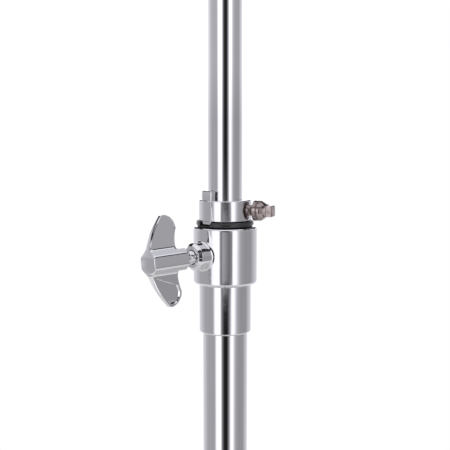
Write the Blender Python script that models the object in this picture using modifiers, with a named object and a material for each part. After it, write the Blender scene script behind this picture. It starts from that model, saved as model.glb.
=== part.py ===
"""A hi-hat stand with a height joint, a folding tripod, a pull rod with its clutch, and a pedal.

Every size is a real one, in metres. The tubes stand on the Z axis, the floor is at z = 0,
the pedal points to -Y, and the stand is open and at its lowest height.
"""

import math

import bmesh
import bpy
from mathutils import Matrix
from mathutils import Vector

MM = 0.001

# Gap that keeps two touching pieces apart, and the freer one of the open pivot under the toe.
GAP = 0.3 * MM
OPEN_PIVOT_GAP = 0.5 * MM

# Sides of the turned pieces, from the widest to the thinnest.
SIDES_LARGE = 28
SIDES_MEDIUM = 20
SIDES_SMALL = 12
SIDES_RIVET = SIDES_SMALL - 2

# Tubes.
LOWER_TUBE_OD = 25.4 * MM
LOWER_TUBE_WALL = 1.5 * MM
UPPER_TUBE_OD = 19.05 * MM
UPPER_TUBE_WALL = 1.5 * MM
UPPER_TUBE_ABOVE_COLLAR = 270 * MM
UPPER_TUBE_BELOW_COLLAR = 160 * MM

# Height collar: a thick ring with a skirt below it, and a boss for its wing screw.
COLLAR_TOP_Z = 540 * MM
COLLAR_OD = 36.0 * MM
COLLAR_HEIGHT = 32.0 * MM
COLLAR_EDGE = 2.0 * MM
SKIRT_OD = 29.4 * MM
SKIRT_HEIGHT = 27.4 * MM
SKIRT_EDGE = 1.0 * MM
BOSS_OD = 15.0 * MM
BOSS_REACH = 25.2 * MM
BOSS_CHAMFER = 1.5 * MM
WING_AXIS_DROP = 15.0 * MM
WING_AZIMUTH = math.radians(224.0)
WING_LEAN = math.radians(8.0)
SET_SCREW_DROP = 46.0 * MM
SET_SCREW_DIAMETER = 5.0 * MM
SET_SCREW_SOCKET = 2.5 * MM
SET_SCREW_SUNK = 0.4 * MM

# Nylon bushing between the tubes.
BUSHING_FLANGE_OD = 31.8 * MM
BUSHING_FLANGE_HEIGHT = 2.8 * MM
BUSHING_LENGTH = 45.0 * MM
BUSHING_EDGE = 0.9 * MM

# Memory lock: a ring on the upper tube whose key drops into a notch of the bushing.
LOCK_OD = 29.6 * MM
LOCK_HEIGHT = 11.5 * MM
LOCK_EDGE = 0.7 * MM
KEY_WIDTH = 7.5 * MM
KEY_FACE_RADIUS = 14.2 * MM
KEY_INNER_RADIUS = 10.6 * MM
KEY_ABOVE_LOCK = 5.2 * MM
KEY_INTO_BUSHING = 2.0 * MM
KEY_EDGE = 0.5 * MM
LOCK_SCREW_AZIMUTH = math.radians(-22.0)
LOCK_SCREW_THREAD = 6.0 * MM
LOCK_SCREW_FLANGE = 11.0 * MM
LOCK_SCREW_FLANGE_AT = 17.4 * MM
LOCK_SCREW_FLANGE_THICK = 4.4 * MM
LOCK_SCREW_CONE = 3.2 * MM
LOCK_SCREW_END_AT = 28.4 * MM
DRUM_KEY_SQUARE = 6.0 * MM

# Wing screws: the outline of a wing is a parabola outside, a straight edge inside and a round tip.
WING_THREAD = 7.4 * MM
WING_BARREL_WIDTH = 11.4 * MM
WING_BARREL_CORNER = 2.6 * MM
WING_BARREL_START = 30.5 * MM
WING_END = 55.4 * MM
WING_INNER_EDGE = 36.6 * MM
WING_HOLLOW = 1.8 * MM
WING_HOLLOW_START = 8.0 * MM
WING_HOLLOW_LENGTH = 8.6 * MM
WING_SPAN = 48.4 * MM
WING_CURVE = 0.0195 / MM
WING_TIP_RADIUS = 7.6 * MM
WING_TIP_AT = 42.4 * MM
WING_HUB_THICK = 11.0 * MM
WING_HUB_SPREAD = 4.2 * MM
WING_ROOT_THICK = 4.3 * MM
WING_TIP_THICK = 2.2 * MM
WING_RECESS = 0.7 * MM
WING_RECESS_RIM = 1.8 * MM
WING_RECESS_START = 8.0 * MM
WING_RECESS_SLANT = 5.0 * MM

# Cast base that holds the lower tube over the pedal.
BASE_WIDTH = 84.0 * MM
BASE_DEPTH = 60.0 * MM
BASE_SOLE = 7.0 * MM
BASE_CORNER = 12.0 * MM
ARCH_DEPTH = 28.0 * MM
ARCH_FOOT_HALF = 38.0 * MM
ARCH_TOP_HALF = 22.0 * MM
ARCH_WINDOW_FOOT_HALF = 29.0 * MM
ARCH_WINDOW_TOP_HALF = 23.0 * MM
ARCH_CROWN = 14.0 * MM
ARCH_SHOULDER_OUT = 8.0 * MM
ARCH_SHOULDER_DROP = 12.0 * MM
ARCH_SHOULDER_CORNER = 14.0 * MM
ARCH_CROWN_CORNER = 6.0 * MM
WINDOW_FOOT_Z = 4.0 * MM
WINDOW_CORNER = 12.0 * MM
SOCKET_OD = 36.0 * MM
SOCKET_DEPTH = 34.0 * MM
SOCKET_FLOOR = 8.0 * MM
SOCKET_FLARE = 3.0 * MM
SOCKET_FLARE_HEIGHT = 10.0 * MM
WINDOW_TOP_Z = 112.0 * MM
SPUR_X = 34.0 * MM
SPUR_Y = -22.5 * MM
SPUR_THREAD = 6.0 * MM
SPUR_BOSS_OD = 14.0 * MM
SPUR_BOSS_TOP = 16.0 * MM
SPUR_LENGTH = 34.0 * MM
SPUR_HEAD_OD = 14.0 * MM
SPUR_HEAD_HEIGHT = 7.0 * MM
SPUR_TIP_Z = 1.5 * MM
SPUR_POINT = 7.0 * MM
BASE_SCREW_DIAMETER = 6.0 * MM
BASE_SCREW_HEAD = 10.0 * MM
BASE_SCREW_HEAD_HEIGHT = 5.0 * MM

# Tripod. Braces and legs lean equally from the vertical, so the sliding hub's pivots stay in line
# with the fixed hub's while the stand folds.
LEG_AZIMUTHS = tuple(math.radians(a) for a in (-30.0, 90.0, 210.0))
PIVOT_RADIUS = 27.0 * MM
BRACE_PIVOT_ABOVE_SOCKET = 13.0 * MM
LEG_ANGLE = math.radians(46.0)
HUB_SPREAD = 136.0 * MM
HUB_OD = 36.0 * MM
BRACE_HUB_HEIGHT = 22.0 * MM
LEG_HUB_HEIGHT = 28.0 * MM
BRACE_EAR = 6.0 * MM
LEG_EAR = 12.0 * MM
STRIP_THICK = 2.0 * MM
BRACE_STRIP_WIDTH = 12.0 * MM
LEG_STRIP_WIDTH = 14.0 * MM
RIVET_DIAMETER = 6.0 * MM
RIVET_HEAD = 10.0 * MM
RIVET_HEAD_HEIGHT = 1.8 * MM
LEG_WING_AZIMUTH = math.radians(30.0)
FOOT_OD = 28.0 * MM
FOOT_LENGTH = 46.0 * MM
FOOT_CENTRE_Z = 13.0 * MM
FOOT_LIP = 2.0 * MM
FOOT_NECK = 9.0 * MM
TANG_WIDTH = 10.0 * MM
TANG_IN_FOOT = 26.0 * MM
TANG_BEHIND_FOOT = 30.0 * MM

# Pull rod, its return spring and the two rings that hold them in the lower tube.
LOWER_ROD_OD = 8.0 * MM
UPPER_ROD_OD = 6.0 * MM
ROD_ABOVE_CLUTCH = 30.0 * MM
SPRING_SEAT_Z = 200.0 * MM
SPRING_SEAT_HEIGHT = 6.0 * MM
SPRING_LENGTH = 114.0 * MM
SPRING_WIRE = 2.0 * MM
SPRING_DIAMETER = 17.0 * MM
SPRING_TURNS = 12
SPRING_POINTS_PER_TURN = 9
SPRING_COLLAR_HEIGHT = 8.0 * MM
ROD_GUIDE_HEIGHT = 10.0 * MM
COUPLING_OD = 12.0 * MM
COUPLING_LENGTH = 30.0 * MM
PULL_ROD_STROKE = 24.1 * MM
COUPLING_CLEARANCE = 4.0 * MM
THREAD_ENGAGEMENT = 12.0 * MM

# Yoke under the rod, drive link and the pins that they turn on.
YOKE_PIN_Z = 94.0 * MM
YOKE_WIDTH = 16.0 * MM
YOKE_DEPTH = 13.0 * MM
YOKE_ABOVE_PIN = 15.0 * MM
ROD_IN_YOKE = 6.0 * MM
LINK_LENGTH = 24.0 * MM
LINK_THICK = 5.0 * MM
LINK_WIDTH = 12.0 * MM
LINK_LEAN = math.radians(4.3)
LINK_PIN = 5.0 * MM

# Pedal.
HEEL_HINGE_Z = 18.0 * MM
HEEL_HINGE_TO_TOE_PIN = 267.0 * MM
FOOTBOARD_ANGLE = math.radians(11.2)
FOOTBOARD_THICK = 5.0 * MM
FOOTBOARD_ABOVE_PIN = 4.5 * MM
FOOTBOARD_HEEL_HALF = 34.0 * MM
FOOTBOARD_WIDE_HALF = 41.0 * MM
FOOTBOARD_TOE_HALF = 20.0 * MM
FOOTBOARD_START = 9.0 * MM
FOOTBOARD_WIDE_AT = 140.0 * MM
FOOTBOARD_SHOULDER_AT = 212.0 * MM
FOOTBOARD_NECK_AT = 240.0 * MM
FOOTBOARD_PAST_PIN = 14.0 * MM
FOOTBOARD_CORNERS = (6.0 * MM, 60.0 * MM, 14.0 * MM, 14.0 * MM, 8.0 * MM)
FOOTBOARD_TOE_TAPER = 2.0 * MM
FOOTBOARD_SHOULDER_TAPER = 5.0 * MM
FOOTBOARD_RIB = 3.0 * MM
GRIP_SLOT_WIDTH = 6.0 * MM
GRIP_SLOT_LENGTH = 26.0 * MM
GRIP_ROWS = (50.0 * MM, 90.0 * MM, 130.0 * MM, 170.0 * MM)
GRIP_COLUMNS = 3
GRIP_PITCH = 19.0 * MM
LUG_THICK = 4.0 * MM
LUG_WIDTH = 12.0 * MM
KNUCKLE_OD = 13.0 * MM
KNUCKLE_HALF = 20.0 * MM
HEEL_KNUCKLE_END = 33.0 * MM
HINGE_PIN = 5.0 * MM
HEEL_PLATE_LENGTH = 66.0 * MM
HEEL_PLATE_HALF = 38.0 * MM
HEEL_PLATE_CORNER = 16.0 * MM
HEEL_PLATE_WALL = 4.0 * MM
HEEL_PLATE_GAP = 1.5 * MM
RADIUS_ROD_DIAMETER = 6.0 * MM
RADIUS_ROD_X = 22.0 * MM
RADIUS_ROD_Z = 6.0 * MM
RADIUS_ROD_BOSS = 11.0 * MM
RADIUS_ROD_DEPTH = 14.0 * MM
RADIUS_ROD_BOSS_LENGTH = 22.0 * MM
RADIUS_ROD_BOSS_PROUD = 4.0 * MM
RADIUS_ROD_IN_HEEL = 8.0 * MM

# Seat of the lower cymbal, on the upper tube.
SEAT_SLEEVE_OD = 25.6 * MM
SEAT_SLEEVE_LENGTH = 22.0 * MM
SEAT_CUP_OD = 52.0 * MM
SEAT_CUP_FLOOR = 3.0 * MM
SEAT_CUP_RIM = 5.0 * MM
SEAT_CUP_WALL = 2.0 * MM
SEAT_SPIGOT_OD = 12.0 * MM
SEAT_SPIGOT_HEIGHT = 12.0 * MM
SEAT_BORE = 8.4 * MM
SEAT_WASHER_OD = 42.0 * MM
SEAT_WASHER_THICK = 1.5 * MM
SEAT_FELT_OD = 38.0 * MM
SEAT_FELT_THICK = 8.0 * MM
TILT_SCREW_AT = 19.0 * MM
TILT_SCREW_THREAD = 5.0 * MM
TILT_SCREW_HEAD = 11.0 * MM
TILT_SCREW_HEAD_HEIGHT = 6.0 * MM
TILT_BOSS_OD = 9.0 * MM
TILT_BOSS_HEIGHT = 7.0 * MM
TILT_RISE = 2.4 * MM

# Clutch of the upper cymbal, on the pull rod.
CLUTCH_ABOVE_SEAT = 250.0 * MM
CLUTCH_HEAD_OD = 19.0 * MM
CLUTCH_HEAD_HEIGHT = 24.0 * MM
CLUTCH_STEM_OD = 11.6 * MM
CLUTCH_STEM_LENGTH = 54.0 * MM
CLUTCH_NUT_WIDTH = 18.0 * MM
CLUTCH_NUT_HEIGHT = 5.0 * MM
CLUTCH_FELT_OD = 30.0 * MM
CLUTCH_FELT_THICK = 7.0 * MM
CYMBAL_GAP = 5.0 * MM
CLUTCH_FOOT_OD = 20.0 * MM
CLUTCH_FOOT_HEIGHT = 11.0 * MM
CLUTCH_WING_AZIMUTH = math.radians(224.0)
CLUTCH_WING_SCALE = 0.62

UP = Vector((0.0, 0.0, 1.0))
WELD = 0.005 * MM
SHARP = math.radians(40.0)


def clear_scene():
    for obj in list(bpy.data.objects):
        bpy.data.objects.remove(obj, do_unlink=True)


def new_collection(name):
    collection = bpy.data.collections.new(name)
    bpy.context.scene.collection.children.link(collection)
    return collection


def finish(name, colour, roughness, metallic):
    """A plain Principled material."""
    material = bpy.data.materials.new(name)
    material.use_nodes = True
    shader = material.node_tree.nodes["Principled BSDF"]
    shader.inputs["Base Color"].default_value = (*colour, 1.0)
    shader.inputs["Roughness"].default_value = roughness
    shader.inputs["Metallic"].default_value = metallic
    material.diffuse_color = (*colour, 1.0)
    return material


clear_scene()
STAND = new_collection("hi_hat_stand")
CUTTERS = new_collection("cutters")


def add(name, mesh, look):
    """Puts a mesh into the stand as one named piece with a material of its own."""
    colour, roughness, metallic = look
    obj = bpy.data.objects.new(name, mesh)
    STAND.objects.link(obj)
    mesh.materials.clear()
    mesh.materials.append(finish(name, colour, roughness, metallic))
    return obj


CHROME = ((0.78, 0.78, 0.80), 0.12, 1.0)
CAST_CHROME = ((0.72, 0.72, 0.74), 0.2, 1.0)
BRONZE_STEEL = ((0.45, 0.36, 0.32), 0.3, 1.0)
BLACK_NYLON = ((0.03, 0.03, 0.03), 0.45, 0.0)
BLACK_RUBBER = ((0.02, 0.02, 0.02), 0.8, 0.0)
GREY_FELT = ((0.55, 0.55, 0.53), 1.0, 0.0)
SPRING_STEEL = ((0.5, 0.5, 0.5), 0.35, 1.0)


def heading(azimuth):
    """Level direction at an angle from +X."""
    return Vector((math.cos(azimuth), math.sin(azimuth), 0.0))


def frame(origin, x_axis, z_axis):
    """Matrix of a right-handed frame with these X and Z axes."""
    x = Vector(x_axis).normalized()
    z = Vector(z_axis).normalized()
    y = z.cross(x)
    turn = Matrix((x, y, z)).transposed()
    return Matrix.Translation(origin) @ turn.to_4x4()


def radial(azimuth, z):
    """Frame on the tube axis whose Z points outwards and whose X points up."""
    return frame((0.0, 0.0, z), UP, heading(azimuth))


def smooth(obj):
    obj.data.shade_smooth()
    obj.data.set_sharp_from_angle(angle=SHARP)


def rounded(points, radii, steps=3):
    """Polygon with each corner rounded to its radius, where 0 keeps it sharp."""
    outline = []
    for index, (corner, radius) in enumerate(zip(points, radii)):
        here = Vector(corner)
        if radius == 0:
            outline.append(tuple(here))
            continue
        before = (Vector(points[index - 1]) - here).normalized()
        after = (Vector(points[(index + 1) % len(points)]) - here).normalized()
        half = before.angle(after) / 2
        centre = here + (before + after).normalized() * radius / math.sin(half)
        start = here + before * radius / math.tan(half) - centre
        end = here + after * radius / math.tan(half) - centre
        sweep = start.angle(end)
        for step in range(steps + 1):
            share = step / steps
            arm = start * math.sin((1 - share) * sweep) + end * math.sin(share * sweep)
            outline.append(tuple(centre + arm / math.sin(sweep)))
    return outline


def circle(centre, radius, sides):
    x, y = centre
    angles = [2 * math.pi * step / sides for step in range(sides)]
    return [(x + radius * math.cos(a), y + radius * math.sin(a)) for a in angles]


def capsule(start, end, radius, steps=5):
    """Outline of a strip with round ends between two points."""
    start = Vector(start)
    end = Vector(end)
    along = (end - start).normalized()
    turn = math.atan2(along.y, along.x)
    outline = []
    for centre, first in ((end, turn - math.pi / 2), (start, turn + math.pi / 2)):
        for step in range(steps + 1):
            angle = first + math.pi * step / steps
            outline.append((centre.x + radius * math.cos(angle), centre.y + radius * math.sin(angle)))
    return outline


def turned(name, profile, look, sides=SIDES_LARGE, at=None):
    """Turned piece: (radius, z) points down its outer side and, if it is bored, back up the bore."""
    bored = min(radius for radius, _ in profile) > 0
    edges = [(i, i + 1) for i in range(len(profile) - 1)]
    if bored:
        edges.append((len(profile) - 1, 0))
    mesh = bpy.data.meshes.new(name)
    mesh.from_pydata([(radius, 0.0, z) for radius, z in profile], edges, [])
    obj = add(name, mesh, look)
    screw = obj.modifiers.new("turn", "SCREW")
    screw.steps = sides
    screw.render_steps = sides
    screw.use_merge_vertices = True
    screw.merge_threshold = WELD
    if at is not None:
        obj.matrix_world = at
    return obj


def pin(name, low, high, diameter, look, sides=SIDES_SMALL, at=None, chamfer=0.0):
    """Round bar along local Z from low to high, with chamfered ends."""
    radius = diameter / 2
    profile = [(0.0, high), (radius - chamfer, high)]
    if chamfer:
        profile += [(radius, high - chamfer), (radius, low + chamfer)]
    else:
        profile += [(radius, low)]
    if chamfer:
        profile += [(radius - chamfer, low)]
    profile += [(0.0, low)]
    return turned(name, profile, look, sides, at)


def plate(name, outline, thickness, look, holes=(), at=None):
    """Flat plate in the local XY plane, half its thickness to each side of it."""
    curve = bpy.data.curves.new(name, "CURVE")
    curve.dimensions = "2D"
    curve.fill_mode = "BOTH"
    curve.extrude = thickness / 2
    for loop in (outline, *holes):
        spline = curve.splines.new("POLY")
        spline.points.add(len(loop) - 1)
        for point, (x, y) in zip(spline.points, loop):
            point.co = (x, y, 0.0, 1.0)
        spline.use_cyclic_u = True
    shape = bpy.data.objects.new(name + "_outline", curve)
    STAND.objects.link(shape)
    if at is not None:
        shape.matrix_world = at
    bpy.context.view_layer.update()
    return made_mesh(name, shape, look)


def made_mesh(name, shape, look):
    """Turns a curve object into a mesh piece with its caps welded."""
    graph = bpy.context.evaluated_depsgraph_get()
    mesh = bpy.data.meshes.new_from_object(shape.evaluated_get(graph))
    matrix = shape.matrix_world.copy()
    bpy.data.objects.remove(shape, do_unlink=True)
    build = bmesh.new()
    build.from_mesh(mesh)
    bmesh.ops.remove_doubles(build, verts=build.verts, dist=WELD)
    bmesh.ops.recalc_face_normals(build, faces=build.faces)
    build.to_mesh(mesh)
    build.free()
    obj = add(name, mesh, look)
    obj.matrix_world = matrix
    return obj


def block(name, low, high, look, at=None, edge=0.0):
    """Box between two corners, with bevelled edges if edge is given."""
    low = Vector(low)
    high = Vector(high)
    mesh = bpy.data.meshes.new(name)
    build = bmesh.new()
    size = Matrix.Diagonal((*(high - low), 1.0))
    bmesh.ops.create_cube(build, size=1.0, matrix=Matrix.Translation((low + high) / 2) @ size)
    build.to_mesh(mesh)
    build.free()
    obj = add(name, mesh, look)
    if at is not None:
        obj.matrix_world = at
    if edge:
        bevel = obj.modifiers.new("edges", "BEVEL")
        bevel.width = edge
        bevel.segments = 2
    return obj


def loft(name, sections, look, at=None):
    """Closed solid through sections that all have the same number of points."""
    build = bmesh.new()
    rings = [[build.verts.new(point) for point in section] for section in sections]
    for lower, upper in zip(rings, rings[1:]):
        for i in range(len(lower)):
            j = (i + 1) % len(lower)
            build.faces.new((lower[i], lower[j], upper[j], upper[i]))
    build.faces.new(rings[0])
    build.faces.new(rings[-1])
    bmesh.ops.recalc_face_normals(build, faces=build.faces)
    mesh = bpy.data.meshes.new(name)
    build.to_mesh(mesh)
    build.free()
    obj = add(name, mesh, look)
    if at is not None:
        obj.matrix_world = at
    return obj


def wire(name, points, diameter, look, resolution=2):
    """Round wire or rod along points, with closed ends."""
    curve = bpy.data.curves.new(name, "CURVE")
    curve.dimensions = "3D"
    curve.bevel_depth = diameter / 2
    curve.bevel_resolution = resolution
    curve.use_fill_caps = True
    spline = curve.splines.new("POLY")
    spline.points.add(len(points) - 1)
    for point, place in zip(spline.points, points):
        point.co = (*place, 1.0)
    obj = bpy.data.objects.new(name, curve)
    STAND.objects.link(obj)
    colour, roughness, metallic = look
    curve.materials.append(finish(name, colour, roughness, metallic))
    return obj


def attach(child, parent):
    """Parents a piece and leaves it where it is."""
    bpy.context.view_layer.update()
    child.parent = parent
    child.matrix_parent_inverse = parent.matrix_world.inverted()


def shape_with(obj, tools, operation):
    for tool in tools:
        if tool.name not in CUTTERS.objects:
            STAND.objects.unlink(tool)
            CUTTERS.objects.link(tool)
            tool.hide_render = True
            tool.display_type = "WIRE"
            attach(tool, obj)
        modifier = obj.modifiers.new(tool.name, "BOOLEAN")
        modifier.operation = operation
        modifier.solver = "EXACT"
        modifier.object = tool
    return obj


def cut(obj, *tools):
    return shape_with(obj, tools, "DIFFERENCE")


def join(obj, *tools):
    return shape_with(obj, tools, "UNION")


def joint(name, parent, at, axis, pieces):
    """Empty on a joint's axis, with Z along the axis, that carries the pieces that move on it."""
    empty = bpy.data.objects.new(name, None)
    STAND.objects.link(empty)
    empty.empty_display_size = 10 * MM
    side = Vector((1.0, 0.0, 0.0)) if abs(Vector(axis).normalized().x) < 0.9 else UP
    z = Vector(axis).normalized()
    x = (side - z * side.dot(z)).normalized()
    empty.matrix_world = frame(at, x, z)
    if parent is not None:
        attach(empty, parent)
    for piece in pieces:
        attach(piece, empty)
    return empty


def ring_profile(outer, bore, top, bottom, edge=0.0):
    """Profile of a plain ring with chamfered outer edges."""
    if not edge:
        return [(outer, top), (outer, bottom), (bore, bottom), (bore, top)]
    return [
        (outer - edge, top),
        (outer, top - edge),
        (outer, bottom + edge),
        (outer - edge, bottom),
        (bore, bottom),
        (bore, top),
    ]


def hexagon(width):
    """Hexagon outline, given its width across the flats."""
    return [(x, y) for x, y in circle((0.0, 0.0), width / math.sqrt(3), 6)]


# Places that several pieces share.
LOWER_TUBE_BORE = LOWER_TUBE_OD - 2 * LOWER_TUBE_WALL
UPPER_TUBE_TOP_Z = COLLAR_TOP_Z + UPPER_TUBE_ABOVE_COLLAR
LEDGE_Z = COLLAR_TOP_Z - COLLAR_HEIGHT
SKIRT_BOTTOM_Z = LEDGE_Z - SKIRT_HEIGHT
WING_Z = COLLAR_TOP_Z - WING_AXIS_DROP
LOWER_TUBE_TOP_Z = COLLAR_TOP_Z - GAP
FLANGE_BOTTOM_Z = COLLAR_TOP_Z + GAP
FLANGE_TOP_Z = FLANGE_BOTTOM_Z + BUSHING_FLANGE_HEIGHT
BUSHING_OD = LOWER_TUBE_BORE - 2 * GAP
LOCK_BOTTOM_Z = FLANGE_TOP_Z + GAP
LOCK_TOP_Z = LOCK_BOTTOM_Z + LOCK_HEIGHT
SOCKET_FLOOR_Z = WINDOW_TOP_Z + SOCKET_FLOOR
SOCKET_TOP_Z = SOCKET_FLOOR_Z + SOCKET_DEPTH
LOWER_TUBE_BOTTOM_Z = SOCKET_FLOOR_Z + GAP
BRACE_PIVOT_Z = SOCKET_TOP_Z + BRACE_PIVOT_ABOVE_SOCKET
LEG_PIVOT_Z = BRACE_PIVOT_Z + HUB_SPREAD

# The brace is as long as the part of the leg above it, and the two span the spread of the hubs.
BRACE_LENGTH = HUB_SPREAD / 2 / math.cos(LEG_ANGLE)
LEG_LENGTH = (LEG_PIVOT_Z - FOOT_CENTRE_Z) / math.cos(LEG_ANGLE)
BRACE_STRIP_AT = BRACE_EAR / 2 + GAP + STRIP_THICK / 2
LEG_STRIP_AT = LEG_EAR / 2 + GAP + STRIP_THICK / 2
TANG_END = LEG_LENGTH - FOOT_LENGTH + FOOT_OD / 2 + TANG_IN_FOOT
STRIP_END = LEG_LENGTH - FOOT_LENGTH + FOOT_OD / 2 - 4 * GAP

# The toe pin stands behind the tube axis at rest and as far before it with the pedal down.
HEEL_HINGE_Y = -HEEL_HINGE_TO_TOE_PIN * math.cos(FOOTBOARD_ANGLE) - LINK_LENGTH * math.sin(LINK_LEAN)
HEEL_HINGE = Vector((0.0, HEEL_HINGE_Y, HEEL_HINGE_Z))
HEEL_FRONT_Y = HEEL_HINGE_Y - KNUCKLE_OD / 2 - HEEL_PLATE_GAP
FOOTBOARD_ALONG = Vector((0.0, math.cos(FOOTBOARD_ANGLE), math.sin(FOOTBOARD_ANGLE)))
TOE_PIN = HEEL_HINGE + FOOTBOARD_ALONG * HEEL_HINGE_TO_TOE_PIN
FOOTBOARD_END = HEEL_HINGE_TO_TOE_PIN + FOOTBOARD_PAST_PIN

SPRING_TOP_Z = SPRING_SEAT_Z + SPRING_SEAT_HEIGHT + 2 * GAP + SPRING_LENGTH
ROD_GUIDE_Z = SPRING_TOP_Z + SPRING_COLLAR_HEIGHT + 2 * GAP
COUPLING_Z = ROD_GUIDE_Z + ROD_GUIDE_HEIGHT + PULL_ROD_STROKE + COUPLING_CLEARANCE
SEAT_FLOOR_Z = UPPER_TUBE_TOP_Z + GAP + SEAT_CUP_FLOOR
SEAT_WASHER_Z = SEAT_FLOOR_Z + GAP
SEAT_FELT_Z = SEAT_WASHER_Z + SEAT_WASHER_THICK + GAP
CLUTCH_TOP_Z = UPPER_TUBE_TOP_Z + CLUTCH_ABOVE_SEAT
CLUTCH_STEM_Z = CLUTCH_TOP_Z - CLUTCH_HEAD_HEIGHT
ROD_TOP_Z = CLUTCH_TOP_Z + ROD_ABOVE_CLUTCH


def make_tube(name, diameter, wall, low, high):
    radius = diameter / 2
    return turned(name, ring_profile(radius, radius - wall, high, low), CHROME)


def make_lower_tube():
    tube = make_tube("lower_tube", LOWER_TUBE_OD, LOWER_TUBE_WALL, LOWER_TUBE_BOTTOM_Z, LOWER_TUBE_TOP_Z)
    hole = pin("lower_tube_screw_hole", 0.0, LOWER_TUBE_OD, WING_THREAD + 2 * GAP, CHROME,
               at=radial(WING_AZIMUTH, WING_Z))
    return cut(tube, hole)


def make_upper_tube():
    return make_tube("upper_tube", UPPER_TUBE_OD, UPPER_TUBE_WALL,
                     COLLAR_TOP_Z - UPPER_TUBE_BELOW_COLLAR, UPPER_TUBE_TOP_Z)


def make_height_collar():
    """One casting: collar, ledge, skirt and the boss of the wing screw."""
    bore = LOWER_TUBE_OD / 2 + GAP
    outline = [
        (COLLAR_OD / 2, COLLAR_TOP_Z),
        (COLLAR_OD / 2, LEDGE_Z),
        (SKIRT_OD / 2, LEDGE_Z),
        (SKIRT_OD / 2, SKIRT_BOTTOM_Z),
        (bore, SKIRT_BOTTOM_Z),
        (bore, COLLAR_TOP_Z),
    ]
    radii = (0.6 * COLLAR_EDGE, COLLAR_EDGE, 0, SKIRT_EDGE, 0, 0)
    collar = turned("height_collar", rounded(outline, radii, 2), CAST_CHROME)
    radius = BOSS_OD / 2
    mouth = [(0.0, BOSS_REACH), (radius - BOSS_CHAMFER, BOSS_REACH), (radius, BOSS_REACH - BOSS_CHAMFER)]
    boss = turned("collar_boss", mouth + [(radius, bore + 1 * MM), (0.0, bore + 1 * MM)], CAST_CHROME,
                  SIDES_MEDIUM, radial(WING_AZIMUTH, WING_Z))
    join(collar, boss)
    screw_bore = pin("collar_screw_bore", 0.0, COLLAR_OD, WING_THREAD + 2 * GAP, CAST_CHROME,
                     at=radial(WING_AZIMUTH, WING_Z))
    set_bore = pin("collar_set_bore", 0.0, COLLAR_OD, SET_SCREW_DIAMETER + 2 * GAP, CAST_CHROME,
                   at=radial(0.0, COLLAR_TOP_Z - SET_SCREW_DROP))
    return cut(collar, screw_bore, set_bore)


def make_set_screw():
    """Grub screw through the skirt, just proud of it, with a hexagon socket."""
    at = radial(0.0, COLLAR_TOP_Z - SET_SCREW_DROP)
    end = SKIRT_OD / 2 - SET_SCREW_SUNK
    screw = pin("collar_set_screw", LOWER_TUBE_OD / 2 + GAP, end, SET_SCREW_DIAMETER, BRONZE_STEEL,
                at=at, chamfer=0.4 * MM)
    socket = plate("set_screw_socket", hexagon(SET_SCREW_SOCKET), SET_SCREW_SOCKET, BRONZE_STEEL,
                   at=at @ Matrix.Translation((0.0, 0.0, end)))
    return cut(screw, socket)


def make_tube_bushing():
    """Nylon bushing: a flange on the collar, a barrel in the lower tube and a notch for the key."""
    bore = UPPER_TUBE_OD / 2 + GAP
    flange = BUSHING_FLANGE_OD / 2
    barrel = BUSHING_OD / 2
    outline = [
        (flange, FLANGE_TOP_Z),
        (flange, FLANGE_BOTTOM_Z),
        (barrel, FLANGE_BOTTOM_Z),
        (barrel, FLANGE_BOTTOM_Z - BUSHING_LENGTH),
        (bore, FLANGE_BOTTOM_Z - BUSHING_LENGTH),
        (bore, FLANGE_TOP_Z),
    ]
    radii = (BUSHING_EDGE, BUSHING_EDGE, 0, BUSHING_EDGE, 0, 0)
    bushing = turned("tube_bushing", rounded(outline, radii, 2), BLACK_NYLON)
    half = KEY_WIDTH / 2 + GAP
    notch = block("bushing_notch", (KEY_INTO_BUSHING * -1 - GAP, -half, KEY_INNER_RADIUS - GAP),
                  (LOCK_HEIGHT, half, COLLAR_OD), BLACK_NYLON, radial(WING_AZIMUTH, LOCK_BOTTOM_Z))
    return cut(bushing, notch)


def make_memory_lock():
    """Clamp ring on the upper tube, with a key that stands up and reaches down into the notch."""
    bore = UPPER_TUBE_OD / 2 + GAP
    ring = turned("memory_lock", ring_profile(LOCK_OD / 2, bore, LOCK_TOP_Z, LOCK_BOTTOM_Z, LOCK_EDGE),
                  CAST_CHROME)
    key = block("lock_key", (-KEY_INTO_BUSHING, -KEY_WIDTH / 2, KEY_INNER_RADIUS),
                (LOCK_HEIGHT + KEY_ABOVE_LOCK, KEY_WIDTH / 2, KEY_FACE_RADIUS), CAST_CHROME,
                radial(WING_AZIMUTH, LOCK_BOTTOM_Z), KEY_EDGE)
    join(ring, key)
    screw_bore = pin("lock_screw_bore", 0.0, LOCK_OD, LOCK_SCREW_THREAD + 2 * GAP, CAST_CHROME,
                     at=radial(LOCK_SCREW_AZIMUTH, LOCK_BOTTOM_Z + LOCK_HEIGHT / 2))
    return cut(ring, screw_bore)


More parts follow.
